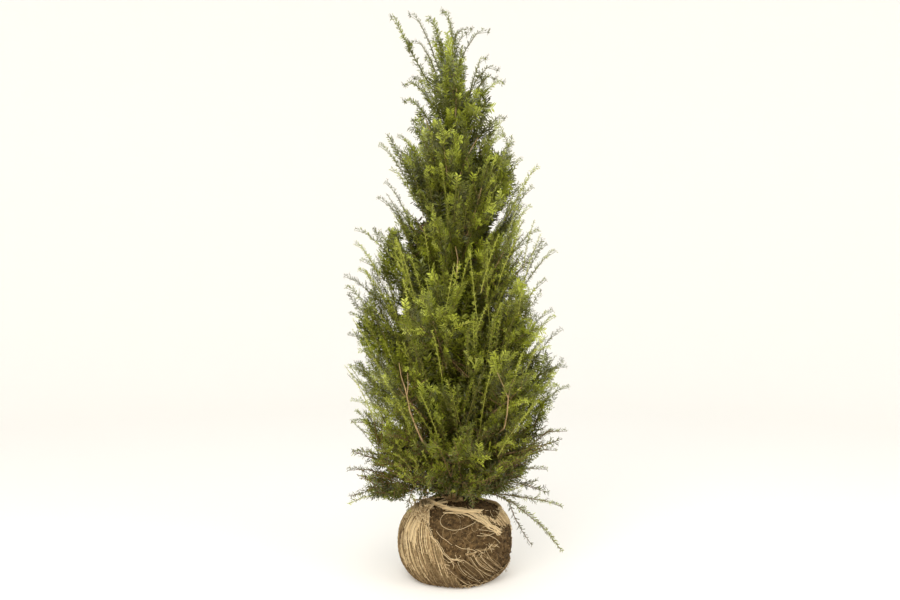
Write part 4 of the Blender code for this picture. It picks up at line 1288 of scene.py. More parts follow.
def barked_tube(line, radii, sides, seed, relief=0.08, flare=0.0):
    """Points and faces of a limb with ridged, flaking bark, closed at both ends."""
    total = line_length(line)
    rings = max(int(total / BARK_STEP), 4)
    marks = np.cumsum([0] + [(b - a).length for a, b in zip(line[:-1], line[1:])])
    points, faces = [], []
    normal = None
    for i in range(rings + 1):
        distance = total * i / rings
        place, heading = place_on(line, min(distance, total * 0.9999))
        if normal is None:
            normal = across(heading, 0.0)
        normal = (normal - heading * normal.dot(heading)).normalized()
        other = heading.cross(normal)
        radius = float(np.interp(distance, marks, radii))
        swell = flare * math.exp(-distance / FLARE_HEIGHT)
        for k in range(sides):
            angle = 2 * math.pi * k / sides
            around = normal * math.cos(angle) + other * math.sin(angle)
            ridge = noise.noise(Vector((3.2 * around.x, 3.2 * around.y, distance * 26 + seed)))
            flake = noise.noise(Vector((9.0 * around.x, 9.0 * around.y, distance * 90 - seed)))
            size = 1 + relief * (ridge + 0.6 * flake) + swell * math.cos(5 * angle + seed)
            points.append(place + around * radius * size)
    for i in range(rings):
        for k in range(sides):
            a, b = i * sides + k, i * sides + (k + 1) % sides
            faces.append((a, b, b + sides, a + sides))
    faces.append(tuple(reversed(range(sides))))
    faces.append(tuple(range(rings * sides, (rings + 1) * sides)))
    return points, faces


def trunk_line_and_sizes():
    heights = np.linspace(GROUND_HEIGHT, TRUNK_TIP_HEIGHT, TRUNK_STEPS + 1)
    return [trunk_point(h) for h in heights], [trunk_radius(h) for h in heights]


# Bare limbs seen through the foliage in front view: the depth of each, its radii at both ends,
# and its x and height along it
SEEN_LIMBS = (
    (-0.245, 0.0036, 0.0022, ((-0.100, 0.480), (-0.118, 0.520), (-0.138, 0.570), (-0.148, 0.620))),
    (-0.245, 0.0021, 0.0010, ((-0.148, 0.620), (-0.154, 0.645), (-0.166, 0.680), (-0.172, 0.720))),
    (-0.245, 0.0018, 0.0009, ((-0.148, 0.620), (-0.144, 0.650), (-0.146, 0.690))),
    (-0.230, 0.0024, 0.0018, ((0.150, 0.520), (0.158, 0.560), (0.162, 0.610))),
    (-0.230, 0.0017, 0.0008, ((0.162, 0.610), (0.146, 0.650), (0.128, 0.690))),
    (-0.230, 0.0015, 0.0008, ((0.162, 0.610), (0.168, 0.645), (0.180, 0.670))),
    (-0.130, 0.0017, 0.0011, ((0.014, 1.300), (0.030, 1.350), (0.056, 1.400), (0.072, 1.425))),
    (-0.170, 0.0020, 0.0014, ((0.004, 0.990), (0.008, 1.040), (0.000, 1.080))),
    (-0.110, 0.0030, 0.0022, ((0.002, 1.230), (0.006, 1.290), (0.002, 1.320))),
    (-0.060, 0.0030, 0.0020, ((-0.006, 1.560), (-0.003, 1.620), (-0.007, 1.690))),
)
# Those of them that begin deeper in the crown
DEEP_FOOTED = (0, 3)


def bark_finish(mottle):
    """Thin orange-brown bark that flakes in patches, with fine cracks along the limb."""
    values = {
        "Dark": (0.140, 0.088, 0.040, 1), "Light": (0.420, 0.305, 0.150, 1),
        "Patch Scale": 60.0, "Grain Scale": 420.0, "Contrast": 2.6, "Stretch": (1, 1, 0.35),
    }
    return mottled_finish("bark", (0.30, 0.17, 0.09), 0.8, 0.3, mottle, values, 0.6, 0.002)


def make_bark(limbs, mottle):
    """The trunk with its root flare, and every limb as far as it is wood."""
    points, faces = [], []

    def take(made):
        first = len(points)
        points.extend(made[0])
        faces.extend(tuple(first + k for k in face) for face in made[1])

    line, sizes = trunk_line_and_sizes()
    take(barked_tube(line, sizes, 20, 1.0, 0.09, 0.16))
    for number, limb in enumerate(limbs):
        if limb.name in ("leader_left", "leader_right", "trailing"):
            continue
        if limb.name == "leader_centre":
            start = TRUNK_TIP_RADIUS
        else:
            start = BOUGH_BUTT_RADIUS if limb.has_bough else TRUNK_BORNE_RADIUS
        line = [Vector(place) for place in clear_of_sky(limb.line[: LIMB_STEPS - 1])]
        radii = np.interp(range(len(line)), (0, LIMB_STEPS * 0.7), (start, STEM_TIP_RADIUS * 0.7))
        take(barked_tube(line, radii, 7, 5.0 * number + 3.0, 0.12))
    for number, (depth, first, last, places) in enumerate(SEEN_LIMBS):
        line = [Vector((x, depth, z)) for x, z in places]
        if number in DEEP_FOOTED:
            line.insert(0, Vector((line[0].x * 0.75, depth * 0.50, line[0].z - 0.05)))
        radii = np.linspace(first, last, len(line))
        take(barked_tube(line, radii, 7, 3.0 * number + 40.0, 0.12))
    bark = mesh_object("bark", points, faces, bark_finish(mottle))
    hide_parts("trunk", *BOUGH_NODES)
    return bark


# Root ball

SOIL_LUMP = 0.0068
SOIL_ROUNDS = 6
LOWEST_CRUMB = 0.008
# Crumbs on the soil: colour, how many to a square metre, and size
CRUMBS = (
    ("crumbs_dark", (0.060, 0.036, 0.015), 5200.0, 0.0044),
    ("crumbs_light", (0.190, 0.122, 0.055), 2600.0, 0.0028),
)


def soil_offset(direction):
    """How far the soil stands below its solid: lumps, clods and crumbs."""
    broad = noise.fractal(direction * 8.0, 1.0, 2.0, 4)
    clods = 0.5 - noise.cell_vector(direction * 17.0).x * 0.6
    fine = noise.fractal(direction * 34.0 + Vector((5, 1, 9)), 1.0, 2.0, 3)
    return SOIL_LUMP * (broad * 0.8 + 0.25 * clods + fine * 0.7) - 0.0030


def make_soil(finish):
    """The ball of soil, lumpy and crumbling, cut flat under the plant."""
    shape = bmesh.new()
    bmesh.ops.create_icosphere(shape, subdivisions=SOIL_ROUNDS, radius=1)
    for vert in shape.verts:
        direction = vert.co.normalized()
        vert.co = ball_point(direction, min(soil_offset(direction), 0.0006))
    mesh = bpy.data.meshes.new("soil")
    shape.to_mesh(mesh)
    shape.free()
    mesh.shade_smooth()
    return add_object("soil", mesh, finish)


def soil_finish(mottle):
    """Dark, crumbly soil."""
    values = {
        "Dark": (0.015, 0.009, 0.003, 1), "Light": (0.158, 0.099, 0.041, 1),
        "Patch Scale": 70.0, "Grain Scale": 330.0, "Contrast": 3.6,
    }
    return mottled_finish("soil", (0.09, 0.055, 0.03), 0.95, 0.2, mottle, values, 1.0, 0.009)


def crumb_tree():
    """Crumbs strewn over a surface."""
    tree, wiring, given = new_tree(
        "crumbs", (("Density", "Float"), ("Seed", "Int"), ("Size", "Float"), ("Material", "Material"))
    )
    place = wiring.add("ShaderNodeSeparateXYZ", {0: wiring.add("GeometryNodeInputPosition")}).outputs
    above = wiring.math("GREATER_THAN", place["Z"], LOWEST_CRUMB)
    strewn = wiring.add(
        "GeometryNodeDistributePointsOnFaces",
        {
            "Mesh": given["Geometry"], "Density": given["Density"], "Seed": given["Seed"],
            "Selection": above,
        },
    )
    ball = wiring.add("GeometryNodeMeshIcoSphere", {"Radius": 1.0, "Subdivisions": 1})
    dents = wiring.scaled(wiring.random_vector(-1, 1), 0.25)
    rough = wiring.add("GeometryNodeSetPosition", {"Geometry": ball.outputs["Mesh"], "Offset": dents})
    turn = wiring.random_vector(0, 6.28)
    size = wiring.math("MULTIPLY", given["Size"], wiring.random(0.35, 1.2, given["Seed"]))
    placed = wiring.add(
        "GeometryNodeInstanceOnPoints",
        {"Points": strewn.outputs["Points"], "Instance": rough, "Rotation": turn, "Scale": size},
    )
    close_tree(wiring, placed, given)
    return tree


# Jute. Its yarns run down from the mouth, turned a little to the right as they go.

YARN_COUNT = 180
YARN_TWIST = math.radians(50.0)
YARN_RADIUS = 0.0016
YARN_STEPS = 64
YARN_WANDER = 0.0013
BEADING = (1.25, 0.72)
YARN_COLOURS = (
    ("yarns pale", (0.62, 0.49, 0.29)),
    ("yarns dull", (0.47, 0.355, 0.195)),
    ("yarns dark", (0.29, 0.205, 0.105)),
    ("yarns soiled", (0.135, 0.088, 0.042)),
)
PALE, DULL, DARK, SOILED = range(4)
# The colours of a yarn's stretches, by how clean and how high the cloth is there: darker lower
# down, partly by soil and partly as painted shade, and in the stain
SOILED_AND_SHADED_COLOURS = (
    (0.30, (DARK, DARK, SOILED, SOILED, SOILED)),
    (0.55, (PALE, DULL, DULL, DARK, DARK)),
    (math.inf, (PALE, PALE, PALE, DULL, DULL, DARK)),
)
CLOTH_COLOURS = ((0.130, 0.088, 0.040), (0.34, 0.245, 0.125), (0.07, 0.046, 0.02))
# The soiled patch of cloth on the left shoulder
STAIN = (-0.178, -0.030, 0.196)
STAIN_SIZE = 0.055
WEFT_RINGS = 15
WEFT_STEPS = 180
WEFT_RADIUS = 0.0006
CLOTH_COLUMNS = 216
CLOTH_ROWS = 72
CLOTH_RISE = 0.0022
CLOTH_WALL = 0.0009
CLOTH_EDGE_WANDER = 0.004
# The tear in front view as x and height: an upper, open part, and a lower part where only
# pulled yarns cross the soil
TEAR = (
    (-0.092, 0.262), (-0.093, 0.225), (-0.091, 0.206), (-0.070, 0.175), (-0.049, 0.144),
    (-0.028, 0.121), (-0.003, 0.108), (0.018, 0.110), (0.039, 0.126), (0.085, 0.128),
    (0.135, 0.140), (0.198, 0.135), (0.196, 0.172), (0.150, 0.186), (0.106, 0.212), (0.049, 0.243),
    (0.002, 0.262),
)
# The dip in the cloth's edge on the mouth's right
MOUTH_DIP = (
    (0.010, 0.262), (0.050, 0.246), (0.100, 0.222), (0.128, 0.212), (0.150, 0.226), (0.120, 0.262),
)
THIN_TEAR = (
    (-0.046, 0.140), (-0.002, 0.108), (0.062, 0.120), (0.110, 0.125), (0.200, 0.160),
    (0.200, 0.080), (0.160, 0.046), (0.118, 0.024), (0.070, 0.008), (0.020, 0.016),
    (-0.010, 0.060), (-0.034, 0.104),
)
FRONT_HALF_WIDTH = 0.176
# Yarns pulled across the lower part: where the first and the last one leave the cloth, as x and
# as height, and how far each runs
PULLED_YARNS = 42
PULLED_FROM = ((-0.052, 0.108), (0.106, 0.120))
PULLED_RUN = (0.098, -0.092)
PULLED_COLOURS = (PALE, DULL, DARK, DARK, SOILED, SOILED)
PULLED_LOWEST = 0.012
# Frays at the cloth's edges: how many, how long, how far they stand out, and how low they hang
FRAYS = 300
FRAY_LENGTH = (0.006, 0.022)
FRAY_LIFT = 0.006
FRAY_LOWEST = 0.003
MOUTH_FRAY_PLACES = 120
# Fine roots over the soil: how many, and where they begin, as x and as height
ROOTLETS = 26
ROOTLETS_FROM = ((-0.080, 0.160), (0.115, 0.230))
# The gathered fold at the mouth's left: x and height along its upper and its lower side
FOLD = (
    ((-0.020, 0.262), (-0.060, 0.262), (-0.100, 0.256), (-0.128, 0.238), (-0.150, 0.212),
     (-0.166, 0.180)),
    ((-0.030, 0.256), (-0.068, 0.250), (-0.096, 0.232), (-0.112, 0.206), (-0.124, 0.170),
     (-0.128, 0.130)),
)
FOLD_YARNS = 30
# The knot of gathered cloth at the mouth's left: x, height, how far its strands spread, how many
# they are, and its highest point
KNOT = (-0.112, 0.244, 0.024)
KNOT_STRANDS = 80
KNOT_TOP = 0.254
# Bundles of yarn along the tear's edges in front view: x and height along each, how many yarns
# it has and how far they spread
TORN_EDGES = (
    (((-0.084, 0.240), (-0.092, 0.206), (-0.072, 0.175), (-0.050, 0.144), (-0.028, 0.119),
      (-0.004, 0.106), (0.020, 0.106)), 2, 0.0050),
    (((-0.030, 0.244), (0.020, 0.243), (0.056, 0.232), (0.088, 0.214), (0.145, 0.172)), 14, 0.0080),
    (((-0.110, 0.262), (-0.092, 0.252), (-0.086, 0.236), (-0.092, 0.212)), 10, 0.0080),
)
# Loose strands over the soil in front view, as x and height along each
LOOSE = (
    ((0.020, 0.226), (-0.012, 0.238), (-0.040, 0.232), (-0.050, 0.214), (-0.038, 0.200),
     (-0.012, 0.192), (0.016, 0.193), (0.044, 0.203), (0.066, 0.212)),
    ((0.074, 0.190), (0.098, 0.186), (0.122, 0.178), (0.146, 0.168)),
    ((0.078, 0.180), (0.104, 0.172), (0.128, 0.158), (0.142, 0.140)),
    ((0.068, 0.174), (0.090, 0.170), (0.118, 0.172), (0.150, 0.182)),
    ((0.086, 0.196), (0.110, 0.198), (0.134, 0.188)),
    ((-0.030, 0.252), (-0.010, 0.240), (0.012, 0.236), (0.028, 0.224)),
    ((0.000, 0.150), (0.020, 0.138), (0.048, 0.136), (0.066, 0.126)),
    ((-0.060, 0.190), (-0.044, 0.172), (-0.030, 0.166), (-0.010, 0.150)),
)


def inside(outline, x, z):
    """Whether (x, z) lies inside the outline."""
    hits = False
    for (ax, az), (bx, bz) in zip(outline, outline[1:] + outline[:1]):
        if (az > z) != (bz > z) and x < ax + (bx - ax) * (z - az) / (bz - az):
            hits = not hits
    return hits


def in_mouth(place):
    """Whether the cloth's mouth is there. The cloth reaches a little past the rim."""
    across_x = (place.x - MOUTH_CENTRE_X) / (MOUTH_RADII[0] - CLOTH_EDGE_WANDER)
    across_y = place.y / (MOUTH_RADII[1] - CLOTH_EDGE_WANDER)
    return place.z > BALL_WAIST_HEIGHT and across_x ** 2 + across_y ** 2 < 1


def is_torn(place):
    """Whether the mouth or the tear takes the cloth away there."""
    if in_mouth(place):
        return True
    holes = (TEAR, MOUTH_DIP, THIN_TEAR)
    return place.y <= 0.02 and any(inside(hole, place.x, place.z) for hole in holes)


def yarn_direction(turn, down):
    """The direction from the waist's centre to a yarn at its share down the ball."""
    tilt = math.pi * (0.5 - down)
    angle = turn + YARN_TWIST * (down - 0.3)
    level = math.cos(tilt)
    return Vector((level * math.cos(angle), level * math.sin(angle), math.sin(tilt)))


def fold_height(turn, down):
    """Soft folds that run down the cloth, deepest where it is gathered at the mouth."""
    gather = math.exp(-((down - 0.16) / 0.16) ** 2)
    wave = noise.noise(Vector((3.2 * math.cos(turn), 3.2 * math.sin(turn), down * 2.2)))
    fine = noise.noise(Vector((11 * math.cos(turn), 11 * math.sin(turn), down * 3.0 + 7)))
    return CLOTH_RISE + 0.0030 * wave * (0.4 + gather) + 0.0022 * fine * (0.25 + gather)


def jute_finish(weave, mottle):
    """Coarse jute: yarns of uneven colour over dark gaps."""
    dark, light, gap = CLOTH_COLOURS
    made, wiring, shader = finish_of("jute", light, 0.92, 0.2)
    yarns = use_group(wiring, weave, {})
    skin = use_group(
        wiring,
        mottle,
        {
            "Dark": (*dark, 1), "Light": (*light, 1), "Patch Scale": 16.0,
            "Grain Scale": 600.0, "Contrast": 2.2,
        },
    )
    tinted = wiring.add("ShaderNodeHueSaturation", {"Color": skin["Color"]})
    own = wiring.math("MULTIPLY", yarns["Yarn"], 0.5)
    wiring.set(tinted.inputs["Value"], wiring.math("ADD", 0.72, own))
    mixed = wiring.add("ShaderNodeMix", data_type="RGBA")
    wiring.set(mixed.inputs["Factor"], yarns["Cover"])
    wiring.set(mixed.inputs[6], (*gap, 1))
    wiring.set(mixed.inputs[7], tinted)
    wiring.set(shader.inputs["Base Color"], mixed.outputs[2])
    bump = wiring.add("ShaderNodeBump", {"Height": yarns["Height"], "Strength": 1.0, "Distance": 0.002})
    wiring.set(shader.inputs["Normal"], bump)
    return made


def make_cloth(finish):
    """The jute as one sheet with folds, its mouth open and its front torn."""
    shape = bmesh.new()
    layer = shape.loops.layers.uv.new("yarns")
    rows = []
    for j in range(CLOTH_ROWS + 1):
        down = 0.02 + 0.96 * j / CLOTH_ROWS
        row = []
        for i in range(CLOTH_COLUMNS):
            turn = 2 * math.pi * i / CLOTH_COLUMNS
            direction = yarn_direction(turn, down)
            place = ball_point(direction, 0.0)
            out = fold_height(turn, down) if place.z > 0.02 else CLOTH_RISE
            row.append(shape.verts.new(ball_point(direction, out)))
        rows.append(row)
    for j in range(CLOTH_ROWS):
        for i in range(CLOTH_COLUMNS):
            k = (i + 1) % CLOTH_COLUMNS
            corners = (rows[j][i], rows[j + 1][i], rows[j + 1][k], rows[j][k])
            middle = sum((vert.co for vert in corners), Vector()) / 4
            if is_torn(middle + noise.noise_vector(middle * 55) * CLOTH_EDGE_WANDER):
                continue
            face = shape.faces.new(corners)
            face.smooth = True
            across_uv = ((i, j), (i, j + 1), (i + 1, j + 1), (i + 1, j))
            for loop, (u, v) in zip(face.loops, across_uv):
                loop[layer].uv = (u * YARN_COUNT / CLOTH_COLUMNS, v * 0.8)
    loose = [vert for vert in shape.verts if not vert.link_faces]
    bmesh.ops.delete(shape, geom=loose, context="VERTS")
    mesh = bpy.data.meshes.new("jute_cloth")
    shape.to_mesh(mesh)
    shape.free()
    cloth = add_object("jute_cloth", mesh, finish)
    wall = cloth.modifiers.new("wall", "SOLIDIFY")
    wall.thickness = CLOTH_WALL
    wall.offset = -1.0
    bpy.context.view_layer.update()
    solid = bpy.data.meshes.new_from_object(cloth.evaluated_get(bpy.context.evaluated_depsgraph_get()))
    cloth.modifiers.remove(wall)
    cloth.data = solid
    return cloth


def smoothed(line, rounds=2):
    """The line with its corners cut, its ends in place."""
    for _ in range(rounds):
        cut = [line[0]]
        for (ax, az), (bx, bz) in zip(line[:-1], line[1:]):
            cut.append((0.75 * ax + 0.25 * bx, 0.75 * az + 0.25 * bz))
            cut.append((0.25 * ax + 0.75 * bx, 0.25 * az + 0.75 * bz))
        line = cut + [line[-1]]
    return line


def front_point(x, z, out):
    """The point at x and z on the ball's front, that far out from its surface."""
    near, far = -0.21, 0.0
    for _ in range(24):
        y = (near + far) / 2
        arm = Vector((x, y, z)) - WAIST
        skin = ball_point(arm.normalized(), out) - WAIST
        if arm.length > skin.length:
            near = y
        else:
            far = y
    return Vector((x, (near + far) / 2, z))


def soiled_and_shaded_colours(place):
    """The yarns' colours there: darker in the stain, and low down by soil and painted shade."""
    # Lower down the ball is darker: partly soil, partly painted shade
    clean_and_lit = place.z / GROUND_HEIGHT + 0.35 * noise.noise(place * 14)
    clean_and_lit -= 0.6 * math.exp(-((place - Vector(STAIN)).length / STAIN_SIZE) ** 2)
    return next(colours for level, colours in SOILED_AND_SHADED_COLOURS if clean_and_lit < level)


class Yarns:
    """Yarns by colour, and the places at the cloth's edges where they fray."""

    def __init__(self):
        self.chance = random.Random("yarns")
        self.kinds = [Lines() for _ in YARN_COLOURS]
        self.edges = []

    def lay(self, line, thick, colour):
        if len(line) > 2:
            self.kinds[colour].add(line, thick)

    def lay_beaded(self, line, thick):
        """A beaded yarn of the cloth, in short stretches of several colours."""
        chance = self.chance
        first = 0
        while len(line) - first > 2:
            last = min(first + chance.randint(2, 6), len(line) - 1)
            steps = range(first, last + 1)
            sizes = [thick * BEADING[i % 2] * chance.uniform(0.85, 1.15) for i in steps]
            colour = chance.choice(soiled_and_shaded_colours(line[first]))
            self.kinds[colour].add(line[first : last + 1], sizes)
            first = last


def lay_warp(yarns):
    """The yarns that run down the cloth, cut off at the tear and at the mouth."""
    chance = yarns.chance
    for i in range(YARN_COUNT):
        turn = 2 * math.pi * (i + chance.uniform(-0.3, 0.3)) / YARN_COUNT
        span = (chance.uniform(0.04, 0.10), chance.uniform(0.84, 0.90))
        drift = chance.uniform(-0.04, 0.04)
        thick = YARN_RADIUS * chance.uniform(0.7, 1.15)
        run = []
        for j in range(YARN_STEPS + 1):
            down = share_between(span, j / YARN_STEPS)
            waver = noise.noise_vector(Vector((i * 3.7, down * 34, 1.0))) * YARN_WANDER
            lean = turn + drift * math.sin(3.0 * down + i) + waver.x / BALL_WIDTH * 3
            over = fold_height(lean, down) + 0.0012 + waver.y
            place = ball_point(yarn_direction(lean, down), over)
            if is_torn(place):
                yarns.edges += run[-1:]
                yarns.lay_beaded(run, thick)
                run = []
                continue
            if not run and j:
                yarns.edges.append(place)
            run.append(place)
        yarns.lay_beaded(run, thick)


def lay_weft(yarns):
    """Thin yarns round the ball, over and under the others, broken here and there."""
    chance = yarns.chance
    for j in range(WEFT_RINGS):
        down = 0.10 + 0.74 * (j + chance.uniform(-0.3, 0.3)) / WEFT_RINGS
        run = []
        for i in range(WEFT_STEPS + 1):
            turn = 2 * math.pi * i / WEFT_STEPS
            wave = noise.noise(Vector((4 * math.cos(turn), 4 * math.sin(turn), j * 2.1)))
            direction = yarn_direction(turn, down + 0.012 * wave)
            over = 0.0030 if (i + j) % 2 else 0.0006
            place = ball_point(direction, fold_height(turn, down) + over)
            if is_torn(place) or chance.random() < 0.05:
                yarns.lay_beaded(run, WEFT_RADIUS)
                run = []
                continue
            run.append(place)
        yarns.lay_beaded(run, WEFT_RADIUS)


def lay_pulled_yarns(yarns):
    """Thin yarns pulled slantwise across the lower part of the tear."""
    chance = yarns.chance
    for i in range(PULLED_YARNS):
        along = (i + chance.uniform(-0.4, 0.4)) / PULLED_YARNS
        x, z = (share_between(limits, along) for limits in PULLED_FROM)
        z += chance.uniform(-0.016, 0.012)
        reach = chance.uniform(0.65, 1.1)
        bend = chance.uniform(-0.016, 0.016)
        line = []
        for j in range(12):
            t = j / 11
            bow = math.sin(math.pi * t)
            at_x = x + PULLED_RUN[0] * t * reach * (1 - 0.25 * along) + bend * bow
            if abs(at_x) > FRONT_HALF_WIDTH:
                break
            at_z = max(z + PULLED_RUN[1] * t * reach, PULLED_LOWEST)
            line.append(front_point(at_x, at_z, 0.0016 + 0.0040 * chance.random() * bow))
        yarns.lay(line, chance.uniform(0.0005, 0.0010), chance.choice(PULLED_COLOURS))
        yarns.edges.append(front_point(x, z, 0.003))


def lay_fold(yarns):
    """The gathered fold, as yarns side by side from its upper to its lower edge."""
    chance = yarns.chance
    for i in range(FOLD_YARNS):
        t = i / (FOLD_YARNS - 1) + chance.uniform(-0.05, 0.05)
        line = []
        for (ax, az), (bx, bz) in zip(*FOLD):
            out = 0.004 + 0.005 * math.sin(math.pi * t) * chance.uniform(0.6, 1.2)
            line.append(front_point(ax + (bx - ax) * t, az + (bz - az) * t, out))
        yarns.lay(line, chance.uniform(0.0009, 0.0015), chance.choice((PALE, PALE, DULL)))
        yarns.edges.append(line[0])


def lay_knot(yarns):
    """The knot of gathered cloth, as curled strands that stand out of it."""
    chance = yarns.chance
    x, z, spread = KNOT
    for _ in range(KNOT_STRANDS):
        line = []
        turn, curl = chance.uniform(0, 2 * math.pi), chance.uniform(-3, 3)
        at_x = x + chance.uniform(-1, 1) * spread
        at_z = min(z + chance.uniform(-0.8, 0.5) * spread, KNOT_TOP)
        for j in range(7):
            bend = turn + curl * j / 6
            out = 0.004 + 0.016 * math.sin(math.pi * j / 6) * chance.uniform(0.6, 1.2)
            line.append(front_point(at_x, at_z, out))
            at_x += 0.006 * math.cos(bend)
            at_z = min(at_z + 0.005 * math.sin(bend), KNOT_TOP)
        yarns.lay(line, chance.uniform(0.0007, 0.0013), chance.choice((PALE, PALE, PALE, DARK)))


def lay_torn_edges(yarns):
    """Bundles of yarn along the tear's edges, and the loose strands over the soil."""
    chance = yarns.chance
    for line, count, spread in TORN_EDGES:
        for _ in range(count):
            off_x, off_z = chance.uniform(-1, 1) * spread, chance.uniform(-1, 1) * spread
            places = []
            for x, z in smoothed(line):
                waver = noise.noise_vector(Vector((x * 60, z * 60, 30 * off_x + 5))) * 0.007
                out = 0.0035 + 0.003 * chance.random()
                places.append(front_point(x + off_x + waver.x, z + off_z + waver.y, out))
            yarns.lay(places, chance.uniform(0.0007, 0.0013), chance.choice((PALE, PALE, DULL)))
    for line in LOOSE:
        yarns.lay([front_point(x, z, 0.0035) for x, z in smoothed(line)], 0.0007, PALE)


def lay_rootlets(yarns):
    """Fine roots that wander over the open soil."""
    chance = yarns.chance
    for _ in range(ROOTLETS):
        x, z = (chance.uniform(*limits) for limits in ROOTLETS_FROM)
        heading, curl = chance.uniform(0, 2 * math.pi), chance.uniform(-0.5, 0.5)
        line = []
        while len(line) < 14 and inside(TEAR, x, z) and abs(x) < 0.170:
            line.append(front_point(x, z, chance.uniform(-0.001, 0.0015)))
            heading += curl + chance.uniform(-0.3, 0.3)
            x += 0.005 * math.cos(heading)
            z += 0.005 * math.sin(heading)
        yarns.lay(line, 0.0004, chance.choice((DULL, DARK, SOILED)))


def lay_frays(yarns):
    """Short, thin ends at the cloth's edges, curling close to the ball."""
    chance = yarns.chance
    for _ in range(FRAYS):
        root = Vector(yarns.edges[chance.randrange(len(yarns.edges))])
        outward = outward_of(root)
        way = Vector([chance.uniform(-1, 1) for _ in range(3)]) + outward * 0.4 - UP * 0.3
        way -= outward * max(0, way.dot(outward)) * 0.5
        curl = Vector([chance.uniform(-1, 1) for _ in range(3)]) * 0.010
        size = chance.uniform(*FRAY_LENGTH)
        line = []
        for t in (0, 0.25, 0.5, 0.75, 1):
            spot = root + way.normalized() * size * t + curl * t * t
            arm = spot - WAIST
            skin = ball_point(arm.normalized(), 0.0020) - WAIST
            if arm.length < skin.length:
                spot = skin + WAIST
            if arm.length > skin.length + FRAY_LIFT + 0.001:
                spot = skin.normalized() * (skin.length + FRAY_LIFT) + WAIST
            spot.z = max(spot.z, FRAY_LOWEST)
            line.append(spot)
        yarns.lay(line, chance.uniform(0.0004, 0.0008), PALE)


def make_yarns(tree, finishes):
    """The yarns that stand proud of the cloth, the frays at its edges and the pulled ones."""
    yarns = Yarns()
    lay_warp(yarns)
    lay_weft(yarns)
    lay_pulled_yarns(yarns)
    lay_fold(yarns)
    lay_knot(yarns)
    for i in range(MOUTH_FRAY_PLACES):
        angle = 2 * math.pi * i / MOUTH_FRAY_PLACES
        x = MOUTH_CENTRE_X + MOUTH_RADII[0] * math.cos(angle)
        yarns.edges.append(shoulder_point(x, MOUTH_RADII[1] * math.sin(angle), 0.006))
    lay_torn_edges(yarns)
    lay_rootlets(yarns)
    lay_frays(yarns)
    made = []
    for lines, finish in zip(yarns.kinds, finishes):
        name = finish.name.replace(" ", "_")
        values = {"Sides": 4, "Material": finish}
        made.append(grown(lines.as_object(name + " lines"), name, tree, values))
    return made


def shoulder_point(x, y, offset):
    """The point over (x, y), that far out from the soil's upper surface."""
    low, high = 0.0, 1.0
    level = math.hypot(x, y)
    flat = Vector((x, y, 0)) / level
    for _ in range(30):
        tilt = (low + high) / 2
        direction = flat * math.cos(tilt * math.pi / 2)
        direction.z = math.sin(tilt * math.pi / 2)
        found = ball_point(direction, offset)
        if math.hypot(found.x, found.y) > level:
            low = tilt
        else:
            high = tilt
    return found


# The rolled rim: how many strands, their steps round the mouth and their radii, how far its front
# sags, and between which azimuths it is worn away, which is a little narrower for most strands
RIM_STRANDS = 22
RIM_STEPS = 220
RIM_YARN = (0.0010, 0.0017)
RIM_SAG = 0.24
WORN_RIM = (285.0, 352.0)
WORN_MARGIN = 18.0


def rim_centre(angle):
    """The middle of the rolled rim at that angle, and the direction out from the mouth."""
    x = MOUTH_CENTRE_X + (MOUTH_RADII[0] - RIM_RADIUS) * math.cos(angle)
    y = (MOUTH_RADII[1] - RIM_RADIUS) * math.sin(angle)
    y *= 1 + RIM_SAG * max(-math.sin(angle), 0)
    outward = Vector((x - MOUTH_CENTRE_X, y, 0)).normalized()
    return shoulder_point(x, y, RIM_RADIUS * 0.9), outward


def make_rim(tree, finish):
    """The rolled edge of the cloth: yarns twisted together round the mouth."""
    chance = random.Random("rim")
    yarns = Lines()
    for strand in range(RIM_STRANDS):
        away = RIM_RADIUS * math.sqrt(chance.uniform(0.15, 1.0))
        start = chance.uniform(0, 2 * math.pi)
        twists = chance.choice((5, 6, 7))
        first, span = chance.randrange(RIM_STEPS), int(RIM_STEPS * chance.uniform(0.5, 1.0))
        margin = WORN_MARGIN if strand % 3 > 0 else 0
        worn_from = WORN_RIM[0] + margin * away / RIM_RADIUS
        line = []
        for i in range(first, first + span):
            angle = 2 * math.pi * i / RIM_STEPS
            slack = 1 + 0.25 * noise.noise(Vector((4 * math.cos(angle), 4 * math.sin(angle), strand)))
            if worn_from < math.degrees(angle) % 360 < WORN_RIM[1]:
                if len(line) > 2:
                    yarns.add(line, chance.uniform(*RIM_YARN))
                line = []
                continue
            centre, outward = rim_centre(angle)
            roll = start + twists * angle
            line.append(centre + (outward * math.cos(roll) + UP * math.sin(roll)) * away * slack)
        if len(line) > 2:
            yarns.add(line, chance.uniform(*RIM_YARN))
    values = {"Sides": 5, "Material": finish}
    return grown(yarns.as_object("rim yarns"), "jute_rim_roll", tree, values)


# Camera, light and floor

PAPER = (0.90, 0.885, 0.85)
PAPER_GLOW = 0.13
SKY_COLOUR = (1.0, 0.995, 0.98, 1)
SKY_STRENGTH = 0.80
FLOOR_RADIUS = 5.0
WALL_CURVE = 2.5
WALL_HEIGHT = 6.0
WALL_SIDES = 96


def make_camera():
    made = bpy.data.cameras.new("camera")
    made.sensor_width = SENSOR
    made.lens = SENSOR * CAMERA_AWAY / (PIXEL * FRAME_WIDTH)
    obj = bpy.data.objects.new("camera", made)
    obj.location = CAMERA_PLACE
    obj.rotation_euler = (math.pi / 2, 0, 0)
    bpy.context.scene.collection.objects.link(obj)
    bpy.context.scene.camera = obj


def make_light(name, place, size, power, aim=(0, 0, 0.8), colour=(1, 1, 1)):
    made = bpy.data.lights.new(name, "AREA")
    made.size = size
    made.energy = power
    made.color = colour
    obj = bpy.data.objects.new(name, made)
    obj.location = place
    obj.rotation_euler = (Vector(aim) - Vector(place)).to_track_quat("-Z", "Y").to_euler()
    bpy.context.scene.collection.objects.link(obj)


